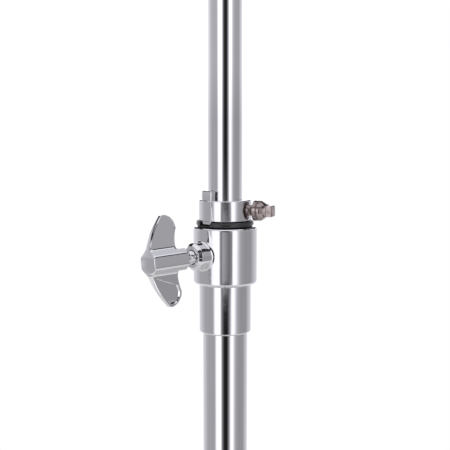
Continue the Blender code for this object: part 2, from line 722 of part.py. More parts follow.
def make_drum_key_screw():
    """Screw of the memory lock: thread, round flange, cone and a square head for a drum key."""
    at = radial(LOCK_SCREW_AZIMUTH, LOCK_BOTTOM_Z + LOCK_HEIGHT / 2)
    thread = LOCK_SCREW_THREAD / 2
    flange = LOCK_SCREW_FLANGE / 2
    flange_end = LOCK_SCREW_FLANGE_AT + LOCK_SCREW_FLANGE_THICK
    neck = DRUM_KEY_SQUARE / math.sqrt(2)
    head_start = flange_end + LOCK_SCREW_CONE
    profile = [
        (0.0, head_start + 1 * MM),
        (neck - 1 * MM, head_start + 1 * MM),
        (neck, head_start),
        (flange - 0.6 * MM, flange_end),
        (flange, flange_end - 0.6 * MM),
        (flange, LOCK_SCREW_FLANGE_AT + 0.4 * MM),
        (flange - 0.4 * MM, LOCK_SCREW_FLANGE_AT),
        (thread, LOCK_SCREW_FLANGE_AT),
        (thread, UPPER_TUBE_OD / 2 + 2 * GAP),
        (0.0, UPPER_TUBE_OD / 2 + 2 * GAP),
    ]
    screw = turned("memory_lock_screw", profile, BRONZE_STEEL, SIDES_SMALL, at)
    half = DRUM_KEY_SQUARE / 2
    head = block("drum_key_square", (-half, -half, head_start), (half, half, LOCK_SCREW_END_AT),
                 BRONZE_STEEL, at, 0.5 * MM)
    return join(screw, head)


def wing_section(height, scale, inset=0.0, slant=0.0):
    """Inner and outer edge, half thickness and height of a wing at a height off its axis."""
    outer = WING_END - WING_CURVE * height ** 2
    hollow = min(max((abs(height) - WING_HOLLOW_START) / WING_HOLLOW_LENGTH, 0.0), 1.0)
    inner = WING_INNER_EDGE - WING_HOLLOW * hollow ** 2
    top = WING_SPAN / 2
    above = abs(height) - (top - WING_TIP_RADIUS)
    if above > 0:
        reach = math.sqrt(max(WING_TIP_RADIUS ** 2 - above ** 2, 0.0))
        inner = max(inner, WING_TIP_AT - reach)
        outer = min(outer, WING_TIP_AT + reach)
    hub = (WING_HUB_THICK - WING_ROOT_THICK) * math.exp(-(height / WING_HUB_SPREAD) ** 2)
    thick = (WING_TIP_THICK + (WING_ROOT_THICK - WING_TIP_THICK) * (1 - abs(height) / top) + hub) / 2
    inner += inset
    outer -= inset
    return inner * scale, outer * scale, thick * scale, height * scale, slant * scale


def make_wing(name, scale, look, at):
    """Leaf-shaped plate through the axis of the screw, thick at the axis and thin at the tips."""
    straight = WING_SPAN / 2 - WING_TIP_RADIUS
    heights = [straight * share for share in (0.0, 0.125, 0.25, 0.375, 0.5, 0.75, 1.0)]
    heights += [straight + WING_TIP_RADIUS * math.sin(math.radians(a)) for a in (25, 48, 68, 82)]
    heights = [-height for height in heights[:0:-1]] + heights
    sections = []
    for height in heights:
        inner, outer, thick, x, _ = wing_section(height, scale)
        edge = min(0.8 * MM * scale, thick * 0.5)
        sections.append([
            (x, thick - edge, inner), (x, thick, inner + edge), (x, thick, outer - edge / 2),
            (x, thick - edge / 2, outer), (x, -thick + edge / 2, outer), (x, -thick, outer - edge / 2),
            (x, -thick, inner + edge), (x, -thick + edge, inner),
        ])
    return loft(name, sections, look, at)


def make_wing_recess(name, side, scale, at):
    """Cutter of the shallow panel in one face of one wing, bounded by a slanting crease."""
    start = WING_RECESS_START
    end = WING_SPAN / 2 - WING_RECESS_RIM
    sections = []
    for share in (0.0, 0.25, 0.5, 0.75, 1.0):
        height = start + (end - start) * share
        lean = WING_RECESS_SLANT * (1 - share)
        inner, outer, thick, x, lift = wing_section(height, scale, WING_RECESS_RIM, lean)
        floor = thick - WING_RECESS * scale
        roof = thick + 2 * MM
        sections.append([
            (side * (x + lift), side * floor, inner), (side * (x + lift), side * roof, inner),
            (side * x, side * roof, outer), (side * x, side * floor, outer),
        ])
    return loft(name, sections, CAST_CHROME, at)


def make_wing_screw(name, z, azimuth, tip_radius, scale, lean, look):
    """T-shaped screw whose axis is level: threaded neck, eight-sided barrel and two wings."""
    at = radial(azimuth, z) @ Matrix.Rotation(lean, 4, "Z")
    half = WING_BARREL_WIDTH / 2 * scale
    flat = half - WING_BARREL_CORNER * scale
    low = WING_BARREL_START * scale
    high = (WING_END - 0.6 * MM) * scale
    corners = [(half, flat), (flat, half), (-flat, half), (-half, flat),
               (-half, -flat), (-flat, -half), (flat, -half), (half, -flat)]
    taper = 0.8
    sections = [[(x * size, y * size, z_at) for x, y in corners]
                for size, z_at in ((taper, low), (1.0, low + 1.5 * MM * scale), (1.0, high))]
    screw = loft(name, sections, look, at)
    neck = pin(name + "_thread", tip_radius, low + 3 * MM * scale, WING_THREAD * scale, look, SIDES_SMALL, at,
               0.5 * MM)
    wing = make_wing(name + "_wings", scale, look, at)
    join(screw, neck, wing)
    recesses = [make_wing_recess(f"{name}_recess_{side}", side, scale, at) for side in (-1, 1)]
    return cut(screw, *recesses)


def facing(x_axis, z_axis, origin=(0.0, 0.0, 0.0)):
    return frame(origin, x_axis, z_axis)


X_AXIS = Vector((1.0, 0.0, 0.0))
Y_AXIS = Vector((0.0, 1.0, 0.0))


def make_base_casting():
    """Sole, arch over the pedal's toe and socket of the lower tube, cast in one."""
    half = BASE_WIDTH / 2
    depth = BASE_DEPTH / 2
    corners = [(-half, -depth), (half, -depth), (half, depth), (-half, depth)]
    base = plate("base_casting", rounded(corners, (BASE_CORNER,) * 4), BASE_SOLE, CAST_CHROME,
                 at=Matrix.Translation((0.0, 0.0, BASE_SOLE / 2)))
    crown_z = WINDOW_TOP_Z + ARCH_CROWN
    window = [(-ARCH_WINDOW_FOOT_HALF, WINDOW_FOOT_Z), (ARCH_WINDOW_FOOT_HALF, WINDOW_FOOT_Z),
              (ARCH_WINDOW_TOP_HALF, WINDOW_TOP_Z), (-ARCH_WINDOW_TOP_HALF, WINDOW_TOP_Z)]
    foot_z = BASE_SOLE / 7
    shoulder = ARCH_WINDOW_TOP_HALF + ARCH_SHOULDER_OUT
    shoulder_z = WINDOW_TOP_Z - ARCH_SHOULDER_DROP
    shoulders = [(-ARCH_FOOT_HALF, foot_z), (ARCH_FOOT_HALF, foot_z), (shoulder, shoulder_z),
                 (ARCH_TOP_HALF, crown_z), (-ARCH_TOP_HALF, crown_z), (-shoulder, shoulder_z)]
    corners = (0, 0, ARCH_SHOULDER_CORNER, ARCH_CROWN_CORNER, ARCH_CROWN_CORNER, ARCH_SHOULDER_CORNER)
    arch = plate("base_arch", rounded(shoulders, corners), ARCH_DEPTH, CAST_CHROME,
                 (rounded(window, (0, 0, WINDOW_CORNER, WINDOW_CORNER)),), facing(X_AXIS, -Y_AXIS))
    radius = SOCKET_OD / 2
    bore = LOWER_TUBE_OD / 2 + GAP
    flare_z = crown_z + ARCH_CROWN_CORNER - SOCKET_FLARE_HEIGHT
    socket_outline = [(0.0, SOCKET_TOP_Z), (radius, SOCKET_TOP_Z), (radius, flare_z + SOCKET_FLARE_HEIGHT),
                      (radius + SOCKET_FLARE, flare_z), (0.0, flare_z)]
    socket = turned("base_socket", rounded(socket_outline, (0, COLLAR_EDGE, 2 * COLLAR_EDGE, 0, 0), 2),
                    CAST_CHROME)
    join(base, arch, socket)
    for side in (-1, 1):
        boss = pin(f"spur_boss_{side}", 1 * MM, SPUR_BOSS_TOP, SPUR_BOSS_OD, CAST_CHROME,
                   at=Matrix.Translation((side * SPUR_X, SPUR_Y, 0.0)), chamfer=0.8 * MM)
        boss_end = depth + RADIUS_ROD_BOSS_PROUD
        rod_boss = pin(f"rod_boss_{side}", boss_end - RADIUS_ROD_BOSS_LENGTH, boss_end, RADIUS_ROD_BOSS,
                       CAST_CHROME, at=facing(X_AXIS, -Y_AXIS, (side * RADIUS_ROD_X, 0.0, RADIUS_ROD_Z)))
        join(base, boss, rod_boss)
    cut(base, pin("socket_bore", SOCKET_FLOOR_Z, SOCKET_TOP_Z + COLLAR_OD, 2 * bore, CAST_CHROME,
                  SIDES_LARGE))
    cut(base, pin("rod_passage", WINDOW_TOP_Z - COLLAR_OD / 4, SOCKET_TOP_Z, LOWER_ROD_OD + 4 * GAP,
                  CAST_CHROME))
    cut(base, pin("base_screw_bore", 0.0, COLLAR_OD, BASE_SCREW_DIAMETER + 2 * GAP, CAST_CHROME,
                  at=base_screw_place()))
    for side in (-1, 1):
        spur_bore = pin(f"spur_bore_{side}", -BASE_SOLE, 2 * SPUR_BOSS_TOP, SPUR_THREAD + 2 * GAP,
                        CAST_CHROME, at=Matrix.Translation((side * SPUR_X, SPUR_Y, 0.0)))
        rod_bore = pin(f"rod_bore_{side}", boss_end - RADIUS_ROD_DEPTH - GAP, BASE_DEPTH,
                       RADIUS_ROD_DIAMETER + 2 * GAP, CAST_CHROME,
                       at=facing(X_AXIS, -Y_AXIS, (side * RADIUS_ROD_X, 0.0, RADIUS_ROD_Z)))
        cut(base, spur_bore, rod_bore)
    return base


def base_screw_place():
    return radial(math.pi / 2, (SOCKET_FLOOR_Z + SOCKET_TOP_Z) / 2)


def make_hex_screw(name, at, tip, seat, diameter, head_width, head_height):
    """Hexagon-head screw along local Z: shank from tip to seat, and its head beyond."""
    screw = pin(name, tip, seat + head_height / 2, diameter, BRONZE_STEEL, at=at, chamfer=0.4 * MM)
    head = plate(name + "_head", hexagon(head_width), head_height, BRONZE_STEEL,
                 at=at @ Matrix.Translation((0.0, 0.0, seat + head_height / 2)))
    return join(screw, head)


def make_base_screw():
    return make_hex_screw("base_screw", base_screw_place(), LOWER_TUBE_OD / 2 + GAP, SOCKET_OD / 2 + 2 * GAP,
                          BASE_SCREW_DIAMETER, BASE_SCREW_HEAD, BASE_SCREW_HEAD_HEIGHT)


def make_spur(name, side):
    """Threaded spike with a knurled head, in a corner of the base."""
    radius = SPUR_THREAD / 2
    head = SPUR_HEAD_OD / 2
    top = SPUR_TIP_Z + SPUR_LENGTH
    profile = [(0.0, top), (head - 1 * MM, top), (head, top - 1 * MM), (head, top - SPUR_HEAD_HEIGHT + 1 * MM),
               (head - 1 * MM, top - SPUR_HEAD_HEIGHT), (radius, top - SPUR_HEAD_HEIGHT),
               (radius, SPUR_TIP_Z + SPUR_POINT), (0.0, SPUR_TIP_Z)]
    return turned(name, profile, CHROME, SIDES_SMALL, Matrix.Translation((side * SPUR_X, SPUR_Y, 0.0)))


def make_hub(name, z, height, ear):
    """Ring round the lower tube with an ear for each leg."""
    bore = LOWER_TUBE_OD / 2 + GAP
    hub = turned(name, ring_profile(HUB_OD / 2, bore, z + height / 2, z - height / 2, 1.2 * MM), CAST_CHROME)
    for index, azimuth in enumerate(LEG_AZIMUTHS, 1):
        outward = heading(azimuth)
        outline = capsule((bore + 2 * MM, 0.0), (PIVOT_RADIUS, 0.0), LEG_STRIP_WIDTH / 2)
        outline = [(max(x, bore + 1.5 * MM), y) for x, y in outline]
        hole = circle((PIVOT_RADIUS, 0.0), RIVET_DIAMETER / 2 + GAP, SIDES_RIVET)
        join(hub, plate(f"{name}_ear_{index}", outline, ear, CAST_CHROME, (hole,),
                        facing(outward, outward.cross(UP), (0.0, 0.0, z))))
    return hub


def make_brace_hub():
    hub = make_hub("brace_hub", BRACE_PIVOT_Z, BRACE_HUB_HEIGHT, BRACE_EAR)
    return cut(hub, pin("brace_hub_screw_bore", 0.0, COLLAR_OD, BASE_SCREW_DIAMETER + 2 * GAP, CAST_CHROME,
                        at=brace_hub_screw_place()))


def brace_hub_screw_place():
    return radial(LEG_WING_AZIMUTH, BRACE_PIVOT_Z)


def make_brace_hub_screw():
    return make_hex_screw("brace_hub_screw", brace_hub_screw_place(), LOWER_TUBE_OD / 2 + GAP,
                          HUB_OD / 2 + 2 * GAP, BASE_SCREW_DIAMETER, BASE_SCREW_HEAD,
                          BASE_SCREW_HEAD_HEIGHT)


def make_leg_hub():
    """Sliding hub of the legs, with a boss for its wing screw."""
    hub = make_hub("leg_hub", LEG_PIVOT_Z, LEG_HUB_HEIGHT, LEG_EAR)
    at = radial(LEG_WING_AZIMUTH, LEG_PIVOT_Z)
    radius = BOSS_OD / 2
    boss = turned("leg_hub_boss", [(0.0, BOSS_REACH), (radius - BOSS_CHAMFER, BOSS_REACH),
                                   (radius, BOSS_REACH - BOSS_CHAMFER), (radius, LOWER_TUBE_OD / 2 + 1 * MM),
                                   (0.0, LOWER_TUBE_OD / 2 + 1 * MM)], CAST_CHROME, SIDES_MEDIUM, at)
    join(hub, boss)
    bore = pin("leg_hub_bore", LEG_PIVOT_Z - LEG_HUB_HEIGHT, LEG_PIVOT_Z + LEG_HUB_HEIGHT,
               LOWER_TUBE_OD + 2 * GAP, CAST_CHROME, SIDES_LARGE)
    screw_bore = pin("leg_screw_bore", 0.0, COLLAR_OD, WING_THREAD + 2 * GAP, CAST_CHROME, at=at)
    return cut(hub, bore, screw_bore)


def make_rivet(name, half_grip, at, look):
    """Spool: a round shank with a low button head at each end."""
    shank = RIVET_DIAMETER / 2
    head = RIVET_HEAD / 2
    top = half_grip + RIVET_HEAD_HEIGHT
    side = [(0.0, top), (head * 0.7, top), (head, half_grip), (shank, half_grip)]
    return turned(name, side + [(r, -z) for r, z in reversed(side)], look, SIDES_RIVET, at)


def leg_frame(azimuth, angle, z, radius=PIVOT_RADIUS):
    """Frame at a pivot: X runs outwards and up at an angle from the vertical, Z is the pivot's axis."""
    outward = heading(azimuth)
    along = outward * math.sin(angle) + UP * math.cos(angle)
    return facing(along, outward.cross(UP), outward * radius + UP * z)


def make_brace(index, azimuth):
    """Two strips side by side, held together by the rivets at both of their ends."""
    at = leg_frame(azimuth, LEG_ANGLE, BRACE_PIVOT_Z)
    outline = capsule((0.0, 0.0), (BRACE_LENGTH, 0.0), BRACE_STRIP_WIDTH / 2)
    shift = Matrix.Translation((0.0, 0.0, BRACE_STRIP_AT))
    back = Matrix.Translation((0.0, 0.0, -BRACE_STRIP_AT))
    brace = plate(f"brace_{index}", outline, STRIP_THICK, CHROME, at=at @ shift)
    other = plate(f"brace_{index}_strip", outline, STRIP_THICK, CHROME, at=at @ back)
    grip = BRACE_STRIP_AT + STRIP_THICK / 2 - 0.2 * MM
    hub_rivet = make_rivet(f"brace_{index}_hub_rivet", grip, at, CHROME)
    leg_grip = LEG_STRIP_AT + STRIP_THICK / 2 + GAP
    leg_rivet = make_rivet(f"brace_{index}_leg_rivet", leg_grip,
                           at @ Matrix.Translation((BRACE_LENGTH, 0.0, 0.0)), CHROME)
    return join(brace, other, hub_rivet, leg_rivet)


def make_leg(index, azimuth):
    """Two strips from the sliding hub to the foot, with two rivets and the tang of the foot."""
    at = leg_frame(azimuth, math.pi - LEG_ANGLE, LEG_PIVOT_Z)
    half = LEG_STRIP_WIDTH / 2
    outline = capsule((0.0, 0.0), (STRIP_END - half, 0.0), half)
    hole = circle((BRACE_LENGTH, 0.0), RIVET_DIAMETER / 2 + GAP, SIDES_RIVET)
    shift = Matrix.Translation((0.0, 0.0, LEG_STRIP_AT))
    back = Matrix.Translation((0.0, 0.0, -LEG_STRIP_AT))
    leg = plate(f"leg_{index}", outline, STRIP_THICK, CHROME, (hole,), at @ shift)
    other = plate(f"leg_{index}_strip", outline, STRIP_THICK, CHROME, (hole,), at @ back)
    grip = LEG_STRIP_AT + STRIP_THICK / 2 - 0.2 * MM
    hub_rivet = make_rivet(f"leg_{index}_hub_rivet", grip, at, CHROME)
    spacer_at = BRACE_LENGTH + (STRIP_END - BRACE_LENGTH) * 0.6
    spacer = make_rivet(f"leg_{index}_spacer", grip, at @ Matrix.Translation((spacer_at, 0.0, 0.0)), CHROME)
    inner = LEG_STRIP_AT - STRIP_THICK / 2 + 0.5 * MM
    tang = block(f"leg_{index}_tang", (STRIP_END - TANG_BEHIND_FOOT, -TANG_WIDTH / 2, -inner),
                 (TANG_END, TANG_WIDTH / 2, inner), CHROME, at)
    return join(leg, other, hub_rivet, spacer, tang)


def make_leg_foot(index, azimuth, floor):
    """Rubber boot on the end of a leg, ground flat where it stands."""
    outward = heading(azimuth)
    up_leg = UP * math.cos(LEG_ANGLE) - outward * math.sin(LEG_ANGLE)
    end = outward * (PIVOT_RADIUS + LEG_LENGTH * math.sin(LEG_ANGLE)) + UP * FOOT_CENTRE_Z
    at = facing(outward.cross(UP), up_leg, end)
    radius = FOOT_OD / 2
    top = FOOT_LENGTH - radius
    lip = radius - FOOT_LIP
    profile = [(0.0, top), (lip - 1.5 * MM, top), (lip, top - 1.5 * MM), (lip, top - FOOT_NECK),
               (radius, top - FOOT_NECK - 1.5 * FOOT_LIP)]
    profile += [(radius * math.cos(math.radians(a)), -radius * math.sin(math.radians(a)))
                for a in (0, 30, 60)]
    foot = turned(f"leg_foot_{index}", profile + [(0.0, -radius)], BLACK_RUBBER, SIDES_SMALL + 4, at)
    inner = LEG_STRIP_AT - STRIP_THICK / 2 + 0.5 * MM + GAP
    half = TANG_WIDTH / 2 + GAP
    pocket = block(f"foot_{index}_pocket", (-inner, -half, LEG_LENGTH - TANG_END - GAP),
                   (inner, half, FOOT_LENGTH), BLACK_RUBBER, at)
    return cut(foot, pocket, floor)


def make_lower_pull_rod():
    return pin("lower_pull_rod", YOKE_PIN_Z + YOKE_ABOVE_PIN - ROD_IN_YOKE, COUPLING_Z + THREAD_ENGAGEMENT,
               LOWER_ROD_OD, CHROME, chamfer=0.5 * MM)


def make_upper_pull_rod():
    return pin("upper_pull_rod", COUPLING_Z + COUPLING_LENGTH - THREAD_ENGAGEMENT, ROD_TOP_Z, UPPER_ROD_OD,
               CHROME, chamfer=1.0 * MM)


def make_rod_coupling():
    """Sleeve that screws the upper pull rod to the lower one."""
    top = COUPLING_Z + COUPLING_LENGTH
    upper_floor = top - THREAD_ENGAGEMENT - GAP
    lower_roof = COUPLING_Z + THREAD_ENGAGEMENT + GAP
    outer = COUPLING_OD / 2
    sleeve = turned("rod_coupling", [
        (0.0, upper_floor), (UPPER_ROD_OD / 2 + GAP, upper_floor), (UPPER_ROD_OD / 2 + GAP, top),
        (outer - 0.8 * MM, top), (outer, top - 0.8 * MM), (outer, COUPLING_Z + 0.8 * MM),
        (outer - 0.8 * MM, COUPLING_Z), (LOWER_ROD_OD / 2 + GAP, COUPLING_Z),
        (LOWER_ROD_OD / 2 + GAP, lower_roof), (0.0, lower_roof),
    ], CHROME, SIDES_SMALL)
    return sleeve


def make_tube_ring(name, low, height, bore):
    """Ring held inside the lower tube."""
    outer = LOWER_TUBE_BORE / 2 - GAP
    return turned(name, ring_profile(outer, bore, low + height, low, 0.6 * MM), BLACK_NYLON, SIDES_MEDIUM)


def make_spring_collar():
    """Ring on the rod that the spring pushes up against the guide above it."""
    outer = SPRING_DIAMETER / 2 + SPRING_WIRE
    low = SPRING_TOP_Z + GAP
    return turned("spring_collar", ring_profile(outer, LOWER_ROD_OD / 2 + GAP, low + SPRING_COLLAR_HEIGHT, low,
                                                0.6 * MM), CHROME, SIDES_MEDIUM)


def make_return_spring():
    """Compression spring round the rod: one wire, whose least gap to itself is measured and printed."""
    low = SPRING_TOP_Z - SPRING_LENGTH + SPRING_WIRE / 2
    high = SPRING_TOP_Z - SPRING_WIRE / 2
    radius = SPRING_DIAMETER / 2
    count = SPRING_TURNS * SPRING_POINTS_PER_TURN
    points = []
    for step in range(count + 1):
        angle = 2 * math.pi * step / SPRING_POINTS_PER_TURN
        points.append(Vector((radius * math.cos(angle), radius * math.sin(angle),
                              low + (high - low) * step / count)))
    ahead = SPRING_POINTS_PER_TURN - 2
    nearest = min((a - b).length for i, a in enumerate(points) for b in points[i + ahead:])
    print(f"return_spring: least gap between turns {(nearest - SPRING_WIRE) / MM:.2f} mm")
    return wire("return_spring", points, SPRING_WIRE, SPRING_STEEL, 1)


def make_rod_yoke():
    """Fork under the rod, slotted for the drive link."""
    top = YOKE_PIN_Z + YOKE_ABOVE_PIN
    half_x = YOKE_WIDTH / 2
    half_y = YOKE_DEPTH / 2
    outline = capsule((0.0, 0.0), (0.0, YOKE_ABOVE_PIN - half_y), half_y)
    outline = [(x, y) if y < YOKE_ABOVE_PIN / 2 else (math.copysign(half_y, x), YOKE_ABOVE_PIN)
               for x, y in outline if y < YOKE_ABOVE_PIN / 2 or abs(x) > 0.9 * half_y]
    at = facing(Y_AXIS, X_AXIS, (0.0, 0.0, YOKE_PIN_Z))
    yoke = plate("rod_yoke", outline, 2 * half_x, CAST_CHROME, at=at)
    slot_half = LINK_THICK / 2 + 2 * GAP
    slot = block("yoke_slot", (-slot_half, -2 * half_y, YOKE_PIN_Z - 2 * half_y),
                 (slot_half, 2 * half_y, YOKE_PIN_Z + LINK_WIDTH / 2 + 1.5 * MM), CAST_CHROME)
    pin_bore = pin("yoke_pin_bore", -COLLAR_OD, COLLAR_OD, LINK_PIN + 2 * GAP, CAST_CHROME, at=at)
    rod_bore = pin("yoke_rod_bore", top - ROD_IN_YOKE - GAP, top + COLLAR_OD, LOWER_ROD_OD + 2 * GAP, CAST_CHROME)
    return cut(yoke, slot, pin_bore, rod_bore)


def make_cross_pin(name, centre, length, diameter):
    """Level pin along X."""
    return pin(name, -length / 2, length / 2, diameter, BRONZE_STEEL, at=facing(Y_AXIS, X_AXIS, centre),
               chamfer=0.5 * MM)


def make_drive_link():
    """Plate from the rod's yoke to the toe of the footboard, with a freer lower eye."""
    top = Vector((0.0, 0.0, YOKE_PIN_Z))
    down = TOE_PIN - top
    at = facing(down, X_AXIS, top)
    outline = capsule((0.0, 0.0), (down.length, 0.0), LINK_WIDTH / 2)
    eyes = (circle((0.0, 0.0), LINK_PIN / 2 + GAP, SIDES_SMALL),
            circle((down.length, 0.0), LINK_PIN / 2 + OPEN_PIVOT_GAP, SIDES_SMALL))
    return plate("drive_link", outline, LINK_THICK, CAST_CHROME, eyes, at)


def make_footboard():
    """Cast board with rows of grip slots, ribs below, hinge knuckle at the heel and lugs at the toe."""
    normal = X_AXIS.cross(FOOTBOARD_ALONG)
    at = facing(X_AXIS, normal, HEEL_HINGE)
    right = [(FOOTBOARD_HEEL_HALF, FOOTBOARD_START), (FOOTBOARD_WIDE_HALF, FOOTBOARD_WIDE_AT),
             (FOOTBOARD_WIDE_HALF - FOOTBOARD_SHOULDER_TAPER, FOOTBOARD_SHOULDER_AT),
             (FOOTBOARD_TOE_HALF, FOOTBOARD_NECK_AT), (FOOTBOARD_TOE_HALF - FOOTBOARD_TOE_TAPER, FOOTBOARD_END)]
    left = [(-x, y) for x, y in reversed(right)]
    outline = rounded(right + left, FOOTBOARD_CORNERS + FOOTBOARD_CORNERS[::-1])
    slots = []
    for row in GRIP_ROWS:
        for column in range(GRIP_COLUMNS):
            x = (column - (GRIP_COLUMNS - 1) / 2) * GRIP_PITCH
            slots.append(capsule((x, row), (x, row + GRIP_SLOT_LENGTH - GRIP_SLOT_WIDTH), GRIP_SLOT_WIDTH / 2, 4))
    deck = FOOTBOARD_ABOVE_PIN + FOOTBOARD_THICK / 2
    board = plate("footboard", outline, FOOTBOARD_THICK, CAST_CHROME, slots,
                  at @ Matrix.Translation((0.0, 0.0, deck)))
    for side in (-1, 1):
        x = side * 1.5 * GRIP_PITCH
        rib = block(f"footboard_rib_{side}", (x - FOOTBOARD_RIB / 2, FOOTBOARD_START + FOOTBOARD_RIB, -1 * MM),
                    (x + FOOTBOARD_RIB / 2, FOOTBOARD_SHOULDER_AT, deck), CAST_CHROME, at)
        inner = LINK_THICK / 2 + OPEN_PIVOT_GAP
        low = min(side * inner, side * (inner + LUG_THICK))
        high = max(side * inner, side * (inner + LUG_THICK))
        lug = block(f"toe_lug_{side}", (low, HEEL_HINGE_TO_TOE_PIN - LUG_WIDTH / 2, -LUG_WIDTH / 2),
                    (high, HEEL_HINGE_TO_TOE_PIN + LUG_WIDTH / 2, deck), CAST_CHROME, at, 1 * MM)
        join(board, rib, lug)
    knuckle = pin("footboard_knuckle", -KNUCKLE_HALF, KNUCKLE_HALF, KNUCKLE_OD, CAST_CHROME,
                  at=facing(Y_AXIS, X_AXIS, HEEL_HINGE))
    web = block("footboard_web", (-KNUCKLE_HALF + 1 * MM, 0.0, 0.5 * MM),
                (KNUCKLE_HALF - 1 * MM, FOOTBOARD_START + 5 * MM, deck), CAST_CHROME, at)
    join(board, knuckle, web)
    slot_half = LINK_THICK / 2 + OPEN_PIVOT_GAP + 0.6 * MM
    link_slot = block("link_slot", (-slot_half, HEEL_HINGE_TO_TOE_PIN - LINK_WIDTH, 0.5 * MM),
                      (slot_half, HEEL_HINGE_TO_TOE_PIN + LINK_WIDTH / 2 + 3 * MM, 4 * deck), CAST_CHROME, at)
    hinge_bore = pin("footboard_hinge_bore", -HEEL_PLATE_HALF, HEEL_PLATE_HALF, HINGE_PIN + 2 * GAP,
                     CAST_CHROME, at=facing(Y_AXIS, X_AXIS, HEEL_HINGE))
    toe_bore = pin("toe_pin_bore", -COLLAR_OD, COLLAR_OD, LINK_PIN + 2 * GAP, CAST_CHROME,
                   at=facing(Y_AXIS, X_AXIS, TOE_PIN))
    return cut(board, link_slot, hinge_bore, toe_bore)


def make_heel_plate():
    """Cast heel rest: a hollow wedge on the floor with the two outer knuckles of the hinge."""
    back = HEEL_HINGE_Y - HEEL_PLATE_LENGTH
    front = HEEL_FRONT_Y
    half = HEEL_PLATE_HALF
    deck_drop = math.sin(FOOTBOARD_ANGLE)
    deck_z = HEEL_HINGE_Z + FOOTBOARD_ABOVE_PIN + FOOTBOARD_THICK
    front_z = deck_z - (HEEL_HINGE_Y - front) * deck_drop
    back_z = deck_z - HEEL_PLATE_LENGTH * deck_drop
    side_view = [(back, 0.0), (front, 0.0), (front, front_z), (back, back_z)]
    wedge = plate("heel_plate", rounded(side_view, (0, 0, 2 * MM, 4 * MM)), 2 * half, CAST_CHROME,
                  at=facing(Y_AXIS, X_AXIS))
    plan = [(-half, back), (half, back), (half, front), (-half, front)]
    corner = HEEL_PLATE_CORNER
    trim = plate("heel_plan", rounded(plan, (corner, corner, 4 * MM, 4 * MM)), 4 * deck_z, CAST_CHROME)
    shape_with(wedge, [trim], "INTERSECT")
    wall = HEEL_PLATE_WALL
    inside = [(back + 1.5 * wall, -deck_z), (front - wall, -deck_z),
              (front - wall, front_z - FOOTBOARD_THICK), (back + 1.5 * wall, back_z - FOOTBOARD_THICK)]
    hollow = plate("heel_hollow", inside, 2 * (half - 2 * wall), CAST_CHROME, at=facing(Y_AXIS, X_AXIS))
    cut(wedge, hollow)
    hinge_at = facing(Y_AXIS, X_AXIS, HEEL_HINGE)
    start = KNUCKLE_HALF + GAP
    for side in (-1, 1):
        low = min(side * start, side * HEEL_KNUCKLE_END)
        high = max(side * start, side * HEEL_KNUCKLE_END)
        knuckle = pin(f"heel_knuckle_{side}", low, high, KNUCKLE_OD, CAST_CHROME, at=hinge_at)
        web = block(f"heel_web_{side}", (low, front - HEEL_PLATE_GAP, HEEL_HINGE_Z - KNUCKLE_OD / 2 + 1 * MM),
                    (high, HEEL_HINGE_Y - 1 * MM, HEEL_HINGE_Z + KNUCKLE_OD / 2 - 3 * MM), CAST_CHROME)
        rod_bore = pin(f"heel_rod_bore_{side}", -wall, COLLAR_OD, RADIUS_ROD_DIAMETER + 2 * GAP, CAST_CHROME,
                       at=facing(X_AXIS, Y_AXIS, (side * RADIUS_ROD_X, front - wall, RADIUS_ROD_Z)))
        join(wedge, knuckle, web)
        cut(wedge, rod_bore)
    return cut(wedge, pin("heel_hinge_bore", -COLLAR_OD * 2, COLLAR_OD * 2, HINGE_PIN + 2 * GAP, CAST_CHROME,
                          at=hinge_at))


def make_radius_rod(name, side):
    """Round rod that keeps the heel plate at its distance from the base."""
    front = HEEL_FRONT_Y - RADIUS_ROD_IN_HEEL
    back = -BASE_DEPTH / 2 - RADIUS_ROD_BOSS_PROUD + RADIUS_ROD_DEPTH - GAP
    x = side * RADIUS_ROD_X
    at = facing(X_AXIS, Y_AXIS, (x, 0.0, RADIUS_ROD_Z))
    return pin(name, front, back, RADIUS_ROD_DIAMETER, CHROME, at=at, chamfer=0.6 * MM)


def make_seat_cup():
    """Cup on the end of the upper tube, with the spigot of the rod and a boss for the tilt screw."""
    sleeve = SEAT_SLEEVE_OD / 2
    bore = UPPER_TUBE_OD / 2 + GAP
    cup = SEAT_CUP_OD / 2
    under = UPPER_TUBE_TOP_Z + GAP
    rim = SEAT_FLOOR_Z + SEAT_CUP_RIM
    inner = cup - SEAT_CUP_WALL
    spigot_top = SEAT_FLOOR_Z + SEAT_SPIGOT_HEIGHT
    profile = [
        (SEAT_SPIGOT_OD / 2 - 0.6 * MM, spigot_top), (SEAT_SPIGOT_OD / 2, spigot_top - 0.6 * MM),
        (SEAT_SPIGOT_OD / 2, SEAT_FLOOR_Z), (inner, SEAT_FLOOR_Z), (inner, rim), (cup, rim),
        (cup, SEAT_FLOOR_Z - 1 * MM), (cup - 3 * MM, under - 1 * MM), (sleeve, under - 3 * MM),
        (sleeve, UPPER_TUBE_TOP_Z - SEAT_SLEEVE_LENGTH), (bore, UPPER_TUBE_TOP_Z - SEAT_SLEEVE_LENGTH),
        (bore, under), (SEAT_BORE / 2, under), (SEAT_BORE / 2, spigot_top),
    ]
    seat = turned("seat_cup", profile, CAST_CHROME)
    boss_at = Matrix.Translation((TILT_SCREW_AT, 0.0, 0.0))
    boss = pin("tilt_boss", under - TILT_BOSS_HEIGHT, SEAT_FLOOR_Z - 1 * MM, TILT_BOSS_OD, CAST_CHROME, at=boss_at)
    tilt_bore = pin("tilt_bore", under - COLLAR_OD, under + COLLAR_OD, TILT_SCREW_THREAD + 2 * GAP, CAST_CHROME,
                    at=boss_at)
    join(seat, boss)
    return cut(seat, tilt_bore)


